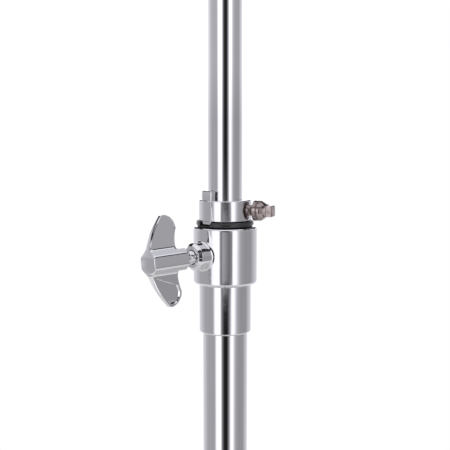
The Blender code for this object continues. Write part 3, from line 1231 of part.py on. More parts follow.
def make_tilt_screw():
    """Knurled screw under the cup that lifts one side of the washer."""
    shank = TILT_SCREW_THREAD / 2
    head = TILT_SCREW_HEAD / 2
    head_top = UPPER_TUBE_TOP_Z - TILT_BOSS_HEIGHT - TILT_RISE - GAP
    low = head_top - TILT_SCREW_HEAD_HEIGHT
    profile = [(0.0, SEAT_FLOOR_Z), (shank, SEAT_FLOOR_Z), (shank, head_top), (head - 0.6 * MM, head_top),
               (head, head_top - 0.6 * MM), (head, low + 0.6 * MM), (head - 0.6 * MM, low), (0.0, low)]
    return turned("tilt_screw", profile, CHROME, SIDES_SMALL, Matrix.Translation((TILT_SCREW_AT, 0.0, 0.0)))


def make_seat_ring(name, diameter, low, height, look, edge):
    bore = SEAT_SPIGOT_OD / 2 + 6 * GAP
    return turned(name, ring_profile(diameter / 2, bore, low + height, low, edge), look, SIDES_LARGE)


def make_clutch_body():
    """Head with the wing screw over a long threaded stem, bored for the pull rod."""
    head = CLUTCH_HEAD_OD / 2
    stem = CLUTCH_STEM_OD / 2
    bore = UPPER_ROD_OD / 2 + GAP
    low = CLUTCH_STEM_Z - CLUTCH_STEM_LENGTH
    profile = [(head - 2 * MM, CLUTCH_TOP_Z), (head, CLUTCH_TOP_Z - 2 * MM), (head, CLUTCH_STEM_Z + 1 * MM),
               (head - 1 * MM, CLUTCH_STEM_Z), (stem, CLUTCH_STEM_Z), (stem, low + 0.8 * MM),
               (stem - 0.8 * MM, low), (bore, low), (bore, CLUTCH_TOP_Z)]
    body = turned("clutch_body", profile, CHROME, SIDES_MEDIUM)
    screw_bore = pin("clutch_screw_bore", 0.0, COLLAR_OD, WING_THREAD * CLUTCH_WING_SCALE + 2 * GAP, CHROME,
                     at=radial(CLUTCH_WING_AZIMUTH, CLUTCH_TOP_Z - CLUTCH_HEAD_HEIGHT / 2))
    return cut(body, screw_bore)


def make_clutch_nut(name, top):
    nut = plate(name, hexagon(CLUTCH_NUT_WIDTH), CLUTCH_NUT_HEIGHT, CHROME,
                (circle((0.0, 0.0), CLUTCH_STEM_OD / 2 + GAP, SIDES_MEDIUM),),
                Matrix.Translation((0.0, 0.0, top - CLUTCH_NUT_HEIGHT / 2)))
    return nut


def make_clutch_felt(name, top):
    return turned(name, ring_profile(CLUTCH_FELT_OD / 2, CLUTCH_STEM_OD / 2 + GAP, top, top - CLUTCH_FELT_THICK,
                                     1 * MM), GREY_FELT, SIDES_MEDIUM)


def make_clutch_foot(top):
    """Flanged knurled nut that carries the upper cymbal."""
    wide = CLUTCH_FOOT_OD / 2
    narrow = wide - 3.5 * MM
    low = top - CLUTCH_FOOT_HEIGHT
    bore = CLUTCH_STEM_OD / 2 + GAP
    profile = [(wide - 0.8 * MM, top), (wide, top - 0.8 * MM), (wide, top - 4 * MM), (wide - 0.8 * MM, top - 5 * MM),
               (narrow + 2 * MM, top - 5.5 * MM), (narrow + 1.2 * MM, low + 0.8 * MM), (narrow, low), (bore, low),
               (bore, top)]
    return turned("clutch_foot_nut", profile, CHROME, SIDES_MEDIUM)


def build_stand():
    floor = block("floor_cut", (-1.0, -1.0, -0.1), (1.0, 1.0, 0.0), BLACK_RUBBER)
    base = [make_base_casting(), make_base_screw(), make_lower_tube(), make_height_collar(), make_set_screw(),
            make_tube_bushing(), make_brace_hub(), make_brace_hub_screw(),
            make_tube_ring("spring_seat", SPRING_SEAT_Z, SPRING_SEAT_HEIGHT, LOWER_ROD_OD / 2 + 2 * GAP),
            make_tube_ring("rod_guide", ROD_GUIDE_Z, ROD_GUIDE_HEIGHT,
                           LOWER_ROD_OD / 2 + GAP),
            make_heel_plate(), make_radius_rod("radius_rod_left", -1), make_radius_rod("radius_rod_right", 1),
            make_cross_pin("heel_hinge_pin", HEEL_HINGE, 2 * HEEL_KNUCKLE_END, HINGE_PIN)]
    root = joint("stand", None, (0.0, 0.0, 0.0), UP, base)
    for name, side in (("spur_left", -1), ("spur_right", 1)):
        joint(f"{name}_screw", root, (side * SPUR_X, SPUR_Y, SPUR_TIP_Z), -UP, [make_spur(name, side)])
    build_tripod(root, floor)
    build_height_joint(root)
    build_pedal(root)
    build_rod(root)


def build_tripod(root, floor):
    """Three braces on the fixed hub, each with its leg, and the sliding hub on the first leg's rivet."""
    legs = []
    for index, azimuth in enumerate(LEG_AZIMUTHS, 1):
        outward = heading(azimuth)
        axis = outward.cross(UP)
        hinge = outward * PIVOT_RADIUS + UP * BRACE_PIVOT_Z
        elbow = hinge + (outward * math.sin(LEG_ANGLE) + UP * math.cos(LEG_ANGLE)) * BRACE_LENGTH
        brace = joint(f"brace_{index}_fold", root, hinge, axis, [make_brace(index, azimuth)])
        pieces = [make_leg(index, azimuth), make_leg_foot(index, azimuth, floor)]
        legs.append(joint(f"leg_{index}_fold", brace, elbow, axis, pieces))
    outward = heading(LEG_AZIMUTHS[0])
    pivot = outward * PIVOT_RADIUS + UP * LEG_PIVOT_Z
    hub = joint("leg_hub_upright", legs[0], pivot, outward.cross(UP), [make_leg_hub()])
    wing = make_wing_screw("leg_hub_wing_screw", LEG_PIVOT_Z, LEG_WING_AZIMUTH, LOWER_TUBE_OD / 2 + GAP, 1.0,
                           0.0, CAST_CHROME)
    joint("leg_hub_wing_turn", hub, (0.0, 0.0, LEG_PIVOT_Z), heading(LEG_WING_AZIMUTH), [wing])


def build_height_joint(root):
    """Wing screw in the collar, upper tube with its seat, and the memory lock on the tube."""
    wing = make_wing_screw("height_wing_screw", WING_Z, WING_AZIMUTH, BUSHING_OD / 2 + GAP, 1.0, WING_LEAN,
                           CAST_CHROME)
    joint("height_wing_turn", root, (0.0, 0.0, WING_Z), heading(WING_AZIMUTH), [wing])
    height = joint("height_slide", root, (0.0, 0.0, COLLAR_TOP_Z), UP, [make_upper_tube(), make_seat_cup()])
    lock_z = LOCK_BOTTOM_Z + LOCK_HEIGHT / 2
    lock = joint("memory_lock_slide", height, (0.0, 0.0, lock_z), UP, [make_memory_lock()])
    joint("memory_lock_screw_turn", lock, (0.0, 0.0, lock_z), heading(LOCK_SCREW_AZIMUTH),
          [make_drum_key_screw()])
    joint("tilt_screw_rise", height, (TILT_SCREW_AT, 0.0, SEAT_FLOOR_Z), UP, [make_tilt_screw()])
    seat = [make_seat_ring("seat_washer", SEAT_WASHER_OD, SEAT_WASHER_Z, SEAT_WASHER_THICK, CHROME, 0.3 * MM),
            make_seat_ring("seat_felt", SEAT_FELT_OD, SEAT_FELT_Z, SEAT_FELT_THICK, GREY_FELT, 1 * MM)]
    joint("seat_tilt", height, (-SEAT_WASHER_OD / 2, 0.0, SEAT_WASHER_Z), -Y_AXIS, seat)


def build_pedal(root):
    pieces = [make_footboard(), make_cross_pin("toe_pin", TOE_PIN, LINK_THICK + 2 * LUG_THICK + 2 * MM, LINK_PIN)]
    joint("footboard_hinge", root, HEEL_HINGE, -X_AXIS, pieces)


def build_rod(root):
    """Pull rod with its spring, the drive link under it and the clutch on it."""
    rod = joint("rod_slide", root, (0.0, 0.0, YOKE_PIN_Z), -UP, [
        make_lower_pull_rod(), make_upper_pull_rod(), make_rod_coupling(), make_spring_collar(),
        make_return_spring(), make_rod_yoke(),
        make_cross_pin("yoke_pin", (0.0, 0.0, YOKE_PIN_Z), YOKE_WIDTH, LINK_PIN),
    ])
    joint("drive_link_hinge", rod, (0.0, 0.0, YOKE_PIN_Z), X_AXIS, [make_drive_link()])
    top = CLUTCH_STEM_Z - 2 * MM
    pieces = [make_clutch_body()]
    for name in ("clutch_lock_nut", "clutch_upper_nut"):
        pieces.append(make_clutch_nut(name, top))
        top -= CLUTCH_NUT_HEIGHT + GAP
    pieces.append(make_clutch_felt("clutch_upper_felt", top))
    top -= CLUTCH_FELT_THICK + CYMBAL_GAP
    pieces.append(make_clutch_felt("clutch_lower_felt", top))
    top -= CLUTCH_FELT_THICK + GAP
    clutch = joint("clutch_slide", rod, (0.0, 0.0, CLUTCH_TOP_Z), UP, pieces)
    joint("clutch_foot_turn", clutch, (0.0, 0.0, top), UP, [make_clutch_foot(top)])
    screw_z = CLUTCH_TOP_Z - CLUTCH_HEAD_HEIGHT / 2
    wing = make_wing_screw("clutch_wing_screw", screw_z, CLUTCH_WING_AZIMUTH, UPPER_ROD_OD / 2 + GAP,
                           CLUTCH_WING_SCALE, 0.0, CAST_CHROME)
    joint("clutch_wing_turn", clutch, (0.0, 0.0, screw_z), heading(CLUTCH_WING_AZIMUTH), [wing])


build_stand()
for piece in STAND.objects:
    if piece.type == "MESH":
        smooth(piece)
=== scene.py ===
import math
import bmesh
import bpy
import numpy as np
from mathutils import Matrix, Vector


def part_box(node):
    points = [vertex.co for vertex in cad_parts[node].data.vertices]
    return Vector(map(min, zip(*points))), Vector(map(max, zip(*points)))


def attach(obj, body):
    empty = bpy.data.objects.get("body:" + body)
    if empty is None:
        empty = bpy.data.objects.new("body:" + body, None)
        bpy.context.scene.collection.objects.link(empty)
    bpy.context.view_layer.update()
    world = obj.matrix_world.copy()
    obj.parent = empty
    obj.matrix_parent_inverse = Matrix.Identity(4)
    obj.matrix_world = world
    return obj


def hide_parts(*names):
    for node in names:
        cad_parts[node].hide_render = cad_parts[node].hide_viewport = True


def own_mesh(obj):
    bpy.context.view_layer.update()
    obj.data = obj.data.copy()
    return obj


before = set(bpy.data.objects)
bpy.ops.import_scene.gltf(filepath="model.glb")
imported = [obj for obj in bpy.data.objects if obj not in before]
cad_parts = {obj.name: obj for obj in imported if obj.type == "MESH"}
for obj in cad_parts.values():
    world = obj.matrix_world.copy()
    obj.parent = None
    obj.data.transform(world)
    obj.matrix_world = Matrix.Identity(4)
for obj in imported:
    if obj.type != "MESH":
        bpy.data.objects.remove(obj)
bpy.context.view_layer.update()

# %% [markdown]
# # The height joint of a hi-hat stand, and the stand around it
#
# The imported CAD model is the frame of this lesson. Its nodes have the right sizes and joints, but
# they are made of flat facets. Each step below builds one piece again as a fine surface over its
# node, or rounds the node's own mesh, and gives it a finish.
#
# Almost every part is a turned, cast or bent piece of chromed metal. Such a shape is a function of
# two parameters, so numpy can work out all its points at once. That is quicker than modelling by
# hand, and each radius in the formula can be measured on the real object.

MM = 0.001
GAP = 0.3 * MM
TUBE = 9.525 * MM
LOWER_TUBE = 12.7 * MM
COLLAR_TOP = 540.0 * MM
WING_AZIMUTH = math.radians(224.0)

# %% [markdown]
# ## A grid of points becomes a mesh
#
# A surface sampled in rows and columns is a grid of four-sided faces. Where the rows or the
# columns come back to their start, the grid wraps round. The faces are numbered with whole-array
# arithmetic. Points that fall together, as at the pole of a turned shape, are merged, and the
# normals are turned outwards, so that every piece is a closed skin.

# %% Faces of a grid, and a piece from one or more grids
def grid_faces(rows, columns, wrap_rows, start):
    """Face (i, j) joins the points (i, j), (i, j+1), (i+1, j+1), (i+1, j); the columns always wrap."""
    i, j = np.meshgrid(np.arange(rows - (not wrap_rows)), np.arange(columns), indexing="ij")
    below, beside = (i + 1) % rows, (j + 1) % columns
    corners = (i * columns + j, i * columns + beside, below * columns + beside, below * columns + j)
    return start + np.stack(corners, -1).reshape(-1, 4)


def piece(node, body, finish, grids, sharp=32.0, at=None):
    """Closed skin for a CAD node from grids of points, each (points[row, column, xyz], wrap_rows)."""
    points, faces, start = [], [], 0
    for grid, wrap_rows in grids:
        rows, columns = grid.shape[:2]
        points.append(grid.reshape(-1, 3))
        faces += grid_faces(rows, columns, wrap_rows, start).tolist()
        if not wrap_rows:
            faces.append((start + np.arange(columns)[::-1]).tolist())
            faces.append((start + (rows - 1) * columns + np.arange(columns)).tolist())
        start += rows * columns
    mesh = bpy.data.meshes.new(node + "_skin")
    mesh.from_pydata(np.concatenate(points).tolist(), [], faces)
    if at is not None:
        mesh.transform(at)
    shape = bmesh.new()
    shape.from_mesh(mesh)
    bmesh.ops.remove_doubles(shape, verts=shape.verts, dist=1e-6)
    bmesh.ops.recalc_face_normals(shape, faces=shape.faces)
    shape.to_mesh(mesh)
    shape.free()
    return dress(node, body, finish, mesh, sharp)


def dress(node, body, finish, mesh, sharp):
    """The object that stands for a node, shaded smooth between its sharp edges, riding on a body."""
    mesh.shade_smooth()
    mesh.set_sharp_from_angle(angle=math.radians(sharp))
    mesh.materials.clear()
    mesh.materials.append(finish)
    made = bpy.data.objects.new(node + "_skin", mesh)
    bpy.context.collection.objects.link(made)
    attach(made, body)
    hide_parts(node)
    return made


print("A grid of 3 by 4 points has", len(grid_faces(3, 4, False, 0)), "faces, and if its rows wrap too,",
      len(grid_faces(3, 4, True, 0)))

# %% [markdown]
# ## Profiles, and shapes turned from them
#
# A lathe carries a profile round an axis, and a real profile has no sharp corner: each is broken
# with a small radius, where chrome catches its brightest lines. `rounded` puts an arc in each
# corner, and `turned` carries the profile round. A radius that depends on both the place along the
# profile and the angle gives knurls and threads with the same function.
#
# Smooth shading blends the normals of neighbouring faces, so a long straight wall next to an arc
# would look like a barrel. `held` adds a point 0.1 mm from each end of a long run, which keeps the
# blend there. A bevel modifier could do the same, but not on rows that a wave moves.

# %% Rounding a profile and turning it
ARC_STEPS = 6
INNER_EDGE = 0.2 * MM
LONG_RUN, HOLD = 0.5 * MM, 0.1 * MM


def rounded(corners, radii):
    """Profile with each corner replaced by an arc of its radius, tangent to both of its sides."""
    corners = np.array(corners, float)
    before, after = np.roll(corners, 1, 0), np.roll(corners, -1, 0)
    profile = []
    for corner, a, b, radius in zip(corners, before, after, radii):
        u, v = (a - corner) / np.linalg.norm(a - corner), (b - corner) / np.linalg.norm(b - corner)
        half = math.acos(np.clip(u @ v, -1, 1)) / 2
        if radius == 0 or half > math.radians(89):
            profile.append(corner[None])
            continue
        bisector = (u + v) / np.linalg.norm(u + v)
        centre = corner + bisector * radius / math.sin(half)
        start, end = corner + u * radius / math.tan(half), corner + v * radius / math.tan(half)
        t = np.linspace(0, 1, ARC_STEPS + 1)[:, None]
        chord = start * (1 - t) + end * t - centre
        profile.append(centre + radius * chord / np.linalg.norm(chord, axis=1, keepdims=True))
    return np.concatenate(profile)


def held(profile, closed=True):
    """The profile with a point close to both ends of every long run, which keeps its shading straight."""
    ahead = np.roll(profile, -1, 0)
    length = np.linalg.norm((ahead - profile)[:, :2], axis=1, keepdims=True)
    long = length[:, 0] > LONG_RUN
    if not closed or profile[0, 0] == 0:
        long[-1] = False
    step = (ahead - profile) * HOLD / np.maximum(length, MM * MM)
    runs = np.stack([profile, profile + step, ahead - step], 1)
    return runs[np.stack([np.ones_like(long), long, long], 1)]


def ring(outer, bore, low, high, edge):
    """Profile of a round ring or tube wall, with broken edges."""
    return rounded([(outer, high), (outer, low), (bore, low), (bore, high)],
                   (edge, edge, INNER_EDGE, INNER_EDGE))


def angles(sides):
    """Evenly spaced angles of one turn."""
    return np.arange(sides) * 2 * math.pi / sides


def polar(radius, v, z):
    """Grid of the points (r cos v, r sin v, z)."""
    radius, v, z = np.broadcast_arrays(radius, v, z)
    return np.stack([radius * np.cos(v), radius * np.sin(v), z], -1)


def turned(profile, sides, wave=None):
    """(r cos v, r sin v, z) for a profile r(u), z(u), where wave(v, z) is added to r."""
    v = angles(sides)
    profile = held(np.array(profile))
    radius, z = profile[:, :1], profile[:, 1:]
    if wave is not None:
        radius = radius + wave(v[None], z) * (radius > 0.8 * radius.max())
    return polar(radius, v, z)


def lathe(node, body, finish, profile, sides, wave=None, at=None):
    """Piece that is one turned shape. Its profile starts on the axis, or is a closed one round a bore."""
    return piece(node, body, finish, [(turned(profile, sides, wave), profile[0][0] > 0)], at=at)


print("A ring's profile has", len(ring(2 * MM, MM, 0, 3 * MM, GAP)), "points before it is held")

# %% [markdown]
# ## Camera and studio
#
# The photograph looks level at the joint and about seven degrees down, from half a metre away, so
# the camera stands in front of the joint with a lens of 68 mm.
#
# Chrome has almost no colour of its own: what we see on it is the room. A catalogue picture of a
# chromed part is made between two tall soft boxes, with the dark lens between them and grey walls
# at the sides. The world is such a room, written as brightness against the compass direction: the
# chrome reads it, the camera sees plain white, and matt parts get plain even light.

# %% Camera
JOINT = Vector((0.0, 0.0, 0.5404))
PITCH = math.radians(7.0)
DISTANCE = 0.473
camera = bpy.data.objects.new("camera", bpy.data.cameras.new("camera"))
camera.data.lens = 68.0
camera.data.clip_start = 0.01
camera.location = JOINT + DISTANCE * Vector((0.0, -math.cos(PITCH), math.sin(PITCH)))
camera.rotation_euler = (math.radians(90) - PITCH, 0.0, 0.0)
bpy.context.collection.objects.link(camera)
bpy.context.scene.camera = camera
bpy.context.scene.view_settings.view_transform = "Standard"
print("Camera at", [round(v, 3) for v in camera.location])


# %% Small helpers that add and join shader nodes
def add_node(tree, kind, settings=(), **inputs):
    """Node with its settings made first, and then its inputs, each a constant or another node's socket."""
    made = tree.nodes.new("ShaderNode" + kind)
    for key, value in settings:
        setattr(made, key, value)
    for key, value in inputs.items():
        plug(tree, value, made.inputs[key.replace("_", " ")])
    return made


def plug(tree, value, socket):
    """A socket's link or constant goes into an input."""
    if isinstance(value, bpy.types.NodeSocket):
        tree.links.new(value, socket)
    else:
        socket.default_value = value


def maths(tree, operation, *values):
    """Result of a Math node."""
    made = add_node(tree, "Math", [("operation", operation)])
    for value, socket in zip(values, made.inputs):
        plug(tree, value, socket)
    return made.outputs[0]


def mixed(tree, factor, a, b, blend_type="MIX"):
    """Mix of two colours."""
    made = add_node(tree, "Mix", [("data_type", "RGBA"), ("blend_type", blend_type)], Factor=factor, A=a, B=b)
    return made.outputs["Result"]


def either(tree, factor, first, second):
    """Mix of two shaders."""
    made = add_node(tree, "MixShader")
    for value, socket in zip((factor, first.outputs[0], second.outputs[0]), made.inputs):
        plug(tree, value, socket)
    return made


def smooth_step(tree, value, low, high):
    """0 below low, 1 above high, and smooth between them."""
    return add_node(tree, "MapRange", [("interpolation_type", "SMOOTHSTEP")], Value=value, From_Min=low,
                    From_Max=high).outputs[0]


def ramp(tree, value, stops):
    """Colour ramp with (position, brightness or colour) stops."""
    made = add_node(tree, "ValToRGB", Fac=value)
    elements = made.color_ramp.elements
    while len(elements) < len(stops):
        elements.new(1.0)
    for element, (position, colour) in zip(elements, stops):
        element.position = position
        element.color = (*(colour if isinstance(colour, tuple) else (colour,) * 3), 1.0)
    return made.outputs["Color"]


print("Node helpers ready")

# %% [markdown]
# The brightness round the horizon is read clockwise from the side of the camera. From the front
# to the back it goes dark lens, soft boxes, grey walls, and a pale wall behind the object. A little
# below the lens something paler stands in the gap, which only the collar and its skirt show, so the
# gap has two versions that are mixed by height. Overhead hangs one more soft box in a dark ceiling,
# which comes down lower at the back: it draws the black lines along every edge that faces upwards.
#
# A stop round the horizon is (degrees, brightness), with the camera at 0. A stop by height is
# (share, brightness or factor), with 0 straight down, 0.5 on the horizon and 1 straight up. The
# ceiling starts where the sine of the height angle passes `CEILING_FROM`, and lower at the back.

# %% Brightness round the horizon and by height
LEFT = ((-180, 1.2), (-156, 1.0), (-145, 0.76), (-125, 0.66), (-98, 0.42), (-58, 0.39), (-53, 0.46),
        (-49, 0.75), (-44, 1.2), (-24, 1.3), (-20, 1.0))
RIGHT = ((27, 0.9), (30, 1.25), (40, 1.25), (44, 0.95), (51, 0.6), (58, 0.41), (74, 0.33), (104, 0.34),
         (120, 0.54), (142, 0.68), (156, 0.8), (180, 1.2))
DARK_GAP = ((-15, 0.3), (-11, 0.15), (-3, 0.014), (9, 0.014), (13, 0.05), (17, 0.2), (20, 0.3), (24, 0.55))
PALE_GAP = ((-15, 0.14), (-8, 0.42), (0, 0.34), (12, 0.20), (20, 0.22), (24, 0.26))
PALE_AT = ((0.0, 0.0), (0.39, 0.0), (0.402, 0.6), (0.409, 1.0), (0.436, 1.0), (0.455, 0.15), (0.48, 0.0),
           (1.0, 0.0))
UPPER_WALL = ((0.0, 1.0), (0.5, 1.0), (0.53, 1.2), (1.0, 1.2))
CEILING = ((0.0, 1.0), (0.30, 0.95), (0.60, 0.9), (0.735, 0.5), (0.75, 0.03), (0.845, 0.03), (0.852, 0.9),
           (1.0, 0.95))
BLACK = (0.02, 0.02, 0.02, 1.0)
WHITE = (1.0, 1.0, 1.0, 1.0)
TINT = (0.985, 0.98, 1.035, 1.0)
BRIGHTEST = 1.35
UPPER_GAIN = 1.2
ROOM_LIGHT = 1.22
PLAIN_LIGHT = 0.8
BACK_FROM, BACK_TO, BACK_ABOVE, BACK_DROP = 0.52, 0.60, 0.15, 0.25
CEILING_FROM, CEILING_TO = 0.45, 0.53
print("Room with", len(LEFT + DARK_GAP + RIGHT), "stops round the horizon")

# %% The room that the chrome reflects
world = bpy.data.worlds.new("studio")
bpy.context.scene.world = world
world.use_nodes = True
tree = world.node_tree
tree.nodes.clear()
direction = add_node(tree, "TexCoord").outputs["Generated"]
x, y, z = add_node(tree, "SeparateXYZ", Vector=direction).outputs
azimuth = maths(tree, "ARCTAN2", x, maths(tree, "MULTIPLY", y, -1.0))
turn = maths(tree, "ADD", maths(tree, "DIVIDE", azimuth, 2 * math.pi), 0.5)
height = maths(tree, "ADD", maths(tree, "MULTIPLY", z, 0.5), 0.5)
dark, pale = (ramp(tree, turn, [((a + 180) / 360, v / BRIGHTEST) for a, v in LEFT + gap + RIGHT])
              for gap in (DARK_GAP, PALE_GAP))
walls = mixed(tree, ramp(tree, height, PALE_AT), dark, pale)
gain = ramp(tree, height, [(p, v / UPPER_GAIN) for p, v in UPPER_WALL])
walls = mixed(tree, 1.0, walls, gain, "MULTIPLY")
behind = add_node(tree, "MapRange", Value=y, From_Min=BACK_FROM, From_Max=BACK_TO).outputs[0]
high_behind = maths(tree, "MULTIPLY", behind, maths(tree, "GREATER_THAN", z, BACK_ABOVE))
ceiling = ramp(tree, height, [(p, v / BRIGHTEST / UPPER_GAIN) for p, v in CEILING])
ceiling = mixed(tree, high_behind, ceiling, BLACK)
lowered = maths(tree, "MULTIPLY", high_behind, BACK_DROP)
off_level = maths(tree, "ADD", maths(tree, "ABSOLUTE", z), lowered)
room = mixed(tree, smooth_step(tree, off_level, CEILING_FROM, CEILING_TO), walls, ceiling)
room = mixed(tree, 1.0, room, TINT, "MULTIPLY")
rays = add_node(tree, "LightPath").outputs
mirrored = maths(tree, "MAXIMUM", rays["Is Glossy Ray"], rays["Is Transmission Ray"])
reflected = add_node(tree, "Background", Color=room, Strength=BRIGHTEST * ROOM_LIGHT * UPPER_GAIN)
plain = add_node(tree, "Background", Color=WHITE, Strength=PLAIN_LIGHT)
white = add_node(tree, "Background", Color=WHITE, Strength=1.0)
shown = either(tree, rays["Is Camera Ray"], either(tree, mirrored, plain, reflected), white)
add_node(tree, "OutputWorld", Surface=shown.outputs[0])
print("The world has", len(tree.nodes), "nodes")


# %% Soft lamps
def soft_lamp(name, place, size, power):
    """Square area lamp aimed at the joint. The chrome doesn't see it, as the room has its soft boxes."""
    lamp = bpy.data.objects.new(name, bpy.data.lights.new(name, "AREA"))
    lamp.data.size = size
    lamp.data.energy = power
    lamp.location = place
    lamp.rotation_euler = (JOINT - Vector(place)).to_track_quat("-Z", "Y").to_euler()
    lamp.visible_glossy = False
    bpy.context.collection.objects.link(lamp)


soft_lamp("key_lamp", (-1.6, -1.8, 2.4), 1.2, 14.0)
soft_lamp("fill_lamp", (1.9, -1.2, 1.6), 1.5, 6.0)
print("Lamps:", [lamp.name for lamp in bpy.data.lights])

# %% A pale floor that fades into the white
FLOOR_RADIUS = 0.9
FADE_FROM, FADE_TO = 0.45, 0.85
bpy.ops.mesh.primitive_circle_add(vertices=96, radius=FLOOR_RADIUS, fill_type="NGON")
floor = bpy.context.object
floor.name = "floor"
paint = bpy.data.materials.new("pale_floor")
paint.use_nodes = True
tree = paint.node_tree
coordinates = add_node(tree, "TexCoord").outputs["Object"]
speckle = add_node(tree, "TexNoise", Vector=coordinates, Scale=40.0, Detail=4.0).outputs["Fac"]
matt = tree.nodes["Principled BSDF"]
plug(tree, ramp(tree, speckle, ((0.3, 0.90), (0.7, 0.93))), matt.inputs["Base Color"])
plug(tree, 0.9, matt.inputs["Roughness"])
plug(tree, 0.1, matt.inputs["Specular IOR Level"])
distance = add_node(tree, "VectorMath", [("operation", "LENGTH")], Vector=coordinates).outputs["Value"]
rays = add_node(tree, "LightPath").outputs
seen = maths(tree, "MAXIMUM", rays["Is Camera Ray"], rays["Is Glossy Ray"])
seen = maths(tree, "MAXIMUM", seen, rays["Is Transmission Ray"])
faded = maths(tree, "MULTIPLY", smooth_step(tree, distance, FADE_FROM, FADE_TO), seen)
surface = either(tree, faded, matt, add_node(tree, "Emission"))
plug(tree, surface.outputs[0], tree.nodes["Material Output"].inputs["Surface"])
floor.data.materials.append(paint)
print("Floor", 2 * FLOOR_RADIUS, "m wide")

# %% [markdown]
# ## Finishes
#
# Every finish starts from the same few nodes: noise in object coordinates, which varies the
# roughness or the colour, and a bump. The differences are in the numbers. Drawn tube has fine
# streaks along its length, a polished casting keeps the soft waves of the mould under its plating,
# and turned parts have rings. The pedal's castings are blasted before they are plated, so that a shoe
# doesn't slip on them, and look dull. A screw of blackened steel shows brown where it is worn.
# Pictures of scratches would do for one view, but noise holds from near and far and on any size.


# %% Building blocks of a finish
def finish(slot, colour, roughness, metallic=1.0, name=None):
    """Principled material whose constants sit on the shader's own sockets."""
    made = bpy.data.materials.new(name or slot + "_finish")
    made.use_nodes = True
    made["slot"] = slot
    shader = made.node_tree.nodes["Principled BSDF"]
    for key, value in (("Base Color", (*colour, 1.0)), ("Roughness", roughness), ("Metallic", metallic)):
        shader.inputs[key].default_value = value
    return made


def noise(tree, scale, detail, stretch=(1.0, 1.0, 1.0)):
    """Noise in object coordinates; stretch multiplies them, so 0.02 draws it out along an axis."""
    coordinates = add_node(tree, "TexCoord").outputs["Object"]
    place = add_node(tree, "Mapping", Vector=coordinates, Scale=stretch).outputs[0]
    return add_node(tree, "TexNoise", Vector=place, Scale=scale, Detail=detail).outputs["Fac"]


def vary(made, key, texture, *stops):
    """The noise of a texture (scale, detail, stretch) drives a socket of the shader through a ramp."""
    tree = made.node_tree
    plug(tree, ramp(tree, noise(tree, *texture), stops), tree.nodes["Principled BSDF"].inputs[key])


def bump(made, texture, depth):
    """Bump of that depth in metres, from the noise of a texture."""
    tree = made.node_tree
    node = add_node(tree, "Bump", Height=noise(tree, *texture), Strength=1.0, Distance=depth)
    plug(tree, node.outputs[0], tree.nodes["Principled BSDF"].inputs["Normal"])


print("Finish helpers ready")

# %% Chrome in its five kinds
CHROME = (0.70, 0.70, 0.715)
tube_chrome = finish("tube_chrome", CHROME, 0.03)
vary(tube_chrome, "Roughness", (60.0, 5.0, (1.0, 1.0, 0.08)), (0.35, 0.02), (0.75, 0.045))
vary(tube_chrome, "Base Color", (9.0, 2.0), (0.3, (0.685, 0.685, 0.70)), (0.7, CHROME))
bump(tube_chrome, (220.0, 2.0, (1.0, 1.0, 0.05)), 0.004 * MM)

cast_chrome = finish("cast_chrome", CHROME, 0.06)
vary(cast_chrome, "Roughness", (160.0, 4.0), (0.35, 0.035), (0.8, 0.08))
vary(cast_chrome, "Base Color", (14.0, 2.0), (0.3, (0.675, 0.675, 0.69)), (0.7, CHROME))
bump(cast_chrome, (150.0, 2.0), 0.02 * MM)

satin_casting = finish("cast_chrome", (0.68, 0.68, 0.69), 0.24, name="satin_casting_finish")
vary(satin_casting, "Roughness", (380.0, 4.0), (0.3, 0.23), (0.75, 0.29))
vary(satin_casting, "Base Color", (30.0, 3.0), (0.3, (0.66, 0.66, 0.67)), (0.7, (0.69, 0.69, 0.70)))
bump(satin_casting, (900.0, 2.0), 0.002 * MM)

strip_chrome = finish("strip_chrome", CHROME, 0.1)
vary(strip_chrome, "Roughness", (300.0, 3.0, (0.2, 0.2, 0.2)), (0.3, 0.08), (0.75, 0.17))
vary(strip_chrome, "Base Color", (11.0, 2.0), (0.3, (0.64, 0.64, 0.655)), (0.7, CHROME))
bump(strip_chrome, (120.0, 2.0), 0.03 * MM)

turned_chrome = finish("turned_chrome", CHROME, 0.1)
vary(turned_chrome, "Roughness", (900.0, 2.0, (0.02, 0.02, 1.0)), (0.3, 0.07), (0.75, 0.16))
vary(turned_chrome, "Base Color", (40.0, 2.0), (0.3, (0.65, 0.65, 0.66)), (0.7, CHROME))
bump(turned_chrome, (1800.0, 1.0, (0.01, 0.01, 1.0)), 0.006 * MM)
print("Chrome: tube, cast, satin, strip and turned")

# %% Screw steel and spring steel
dark_screw_steel = finish("dark_screw_steel", (0.34, 0.28, 0.26), 0.2)
vary(dark_screw_steel, "Base Color", (260.0, 4.0),
     (0.3, (0.15, 0.115, 0.10)), (0.5, (0.34, 0.285, 0.27)), (0.75, (0.47, 0.42, 0.42)))
vary(dark_screw_steel, "Roughness", (700.0, 3.0), (0.3, 0.14), (0.8, 0.34))
bump(dark_screw_steel, (900.0, 2.0), 0.01 * MM)

spring_steel = finish("spring_steel", (0.55, 0.55, 0.56), 0.3)
vary(spring_steel, "Roughness", (420.0, 3.0), (0.3, 0.22), (0.8, 0.42))
vary(spring_steel, "Base Color", (90.0, 3.0), (0.3, (0.42, 0.42, 0.43)), (0.7, (0.6, 0.6, 0.61)))
print("Steel:", dark_screw_steel.name, "and", spring_steel.name)

# %% Nylon, rubber and felt
black_nylon = finish("black_nylon", (0.022, 0.022, 0.024), 0.3, 0.0)
vary(black_nylon, "Roughness", (350.0, 4.0), (0.3, 0.24), (0.8, 0.45))
vary(black_nylon, "Base Color", (60.0, 3.0), (0.3, (0.016, 0.016, 0.018)), (0.7, (0.032, 0.032, 0.034)))
bump(black_nylon, (1500.0, 2.0), 0.02 * MM)

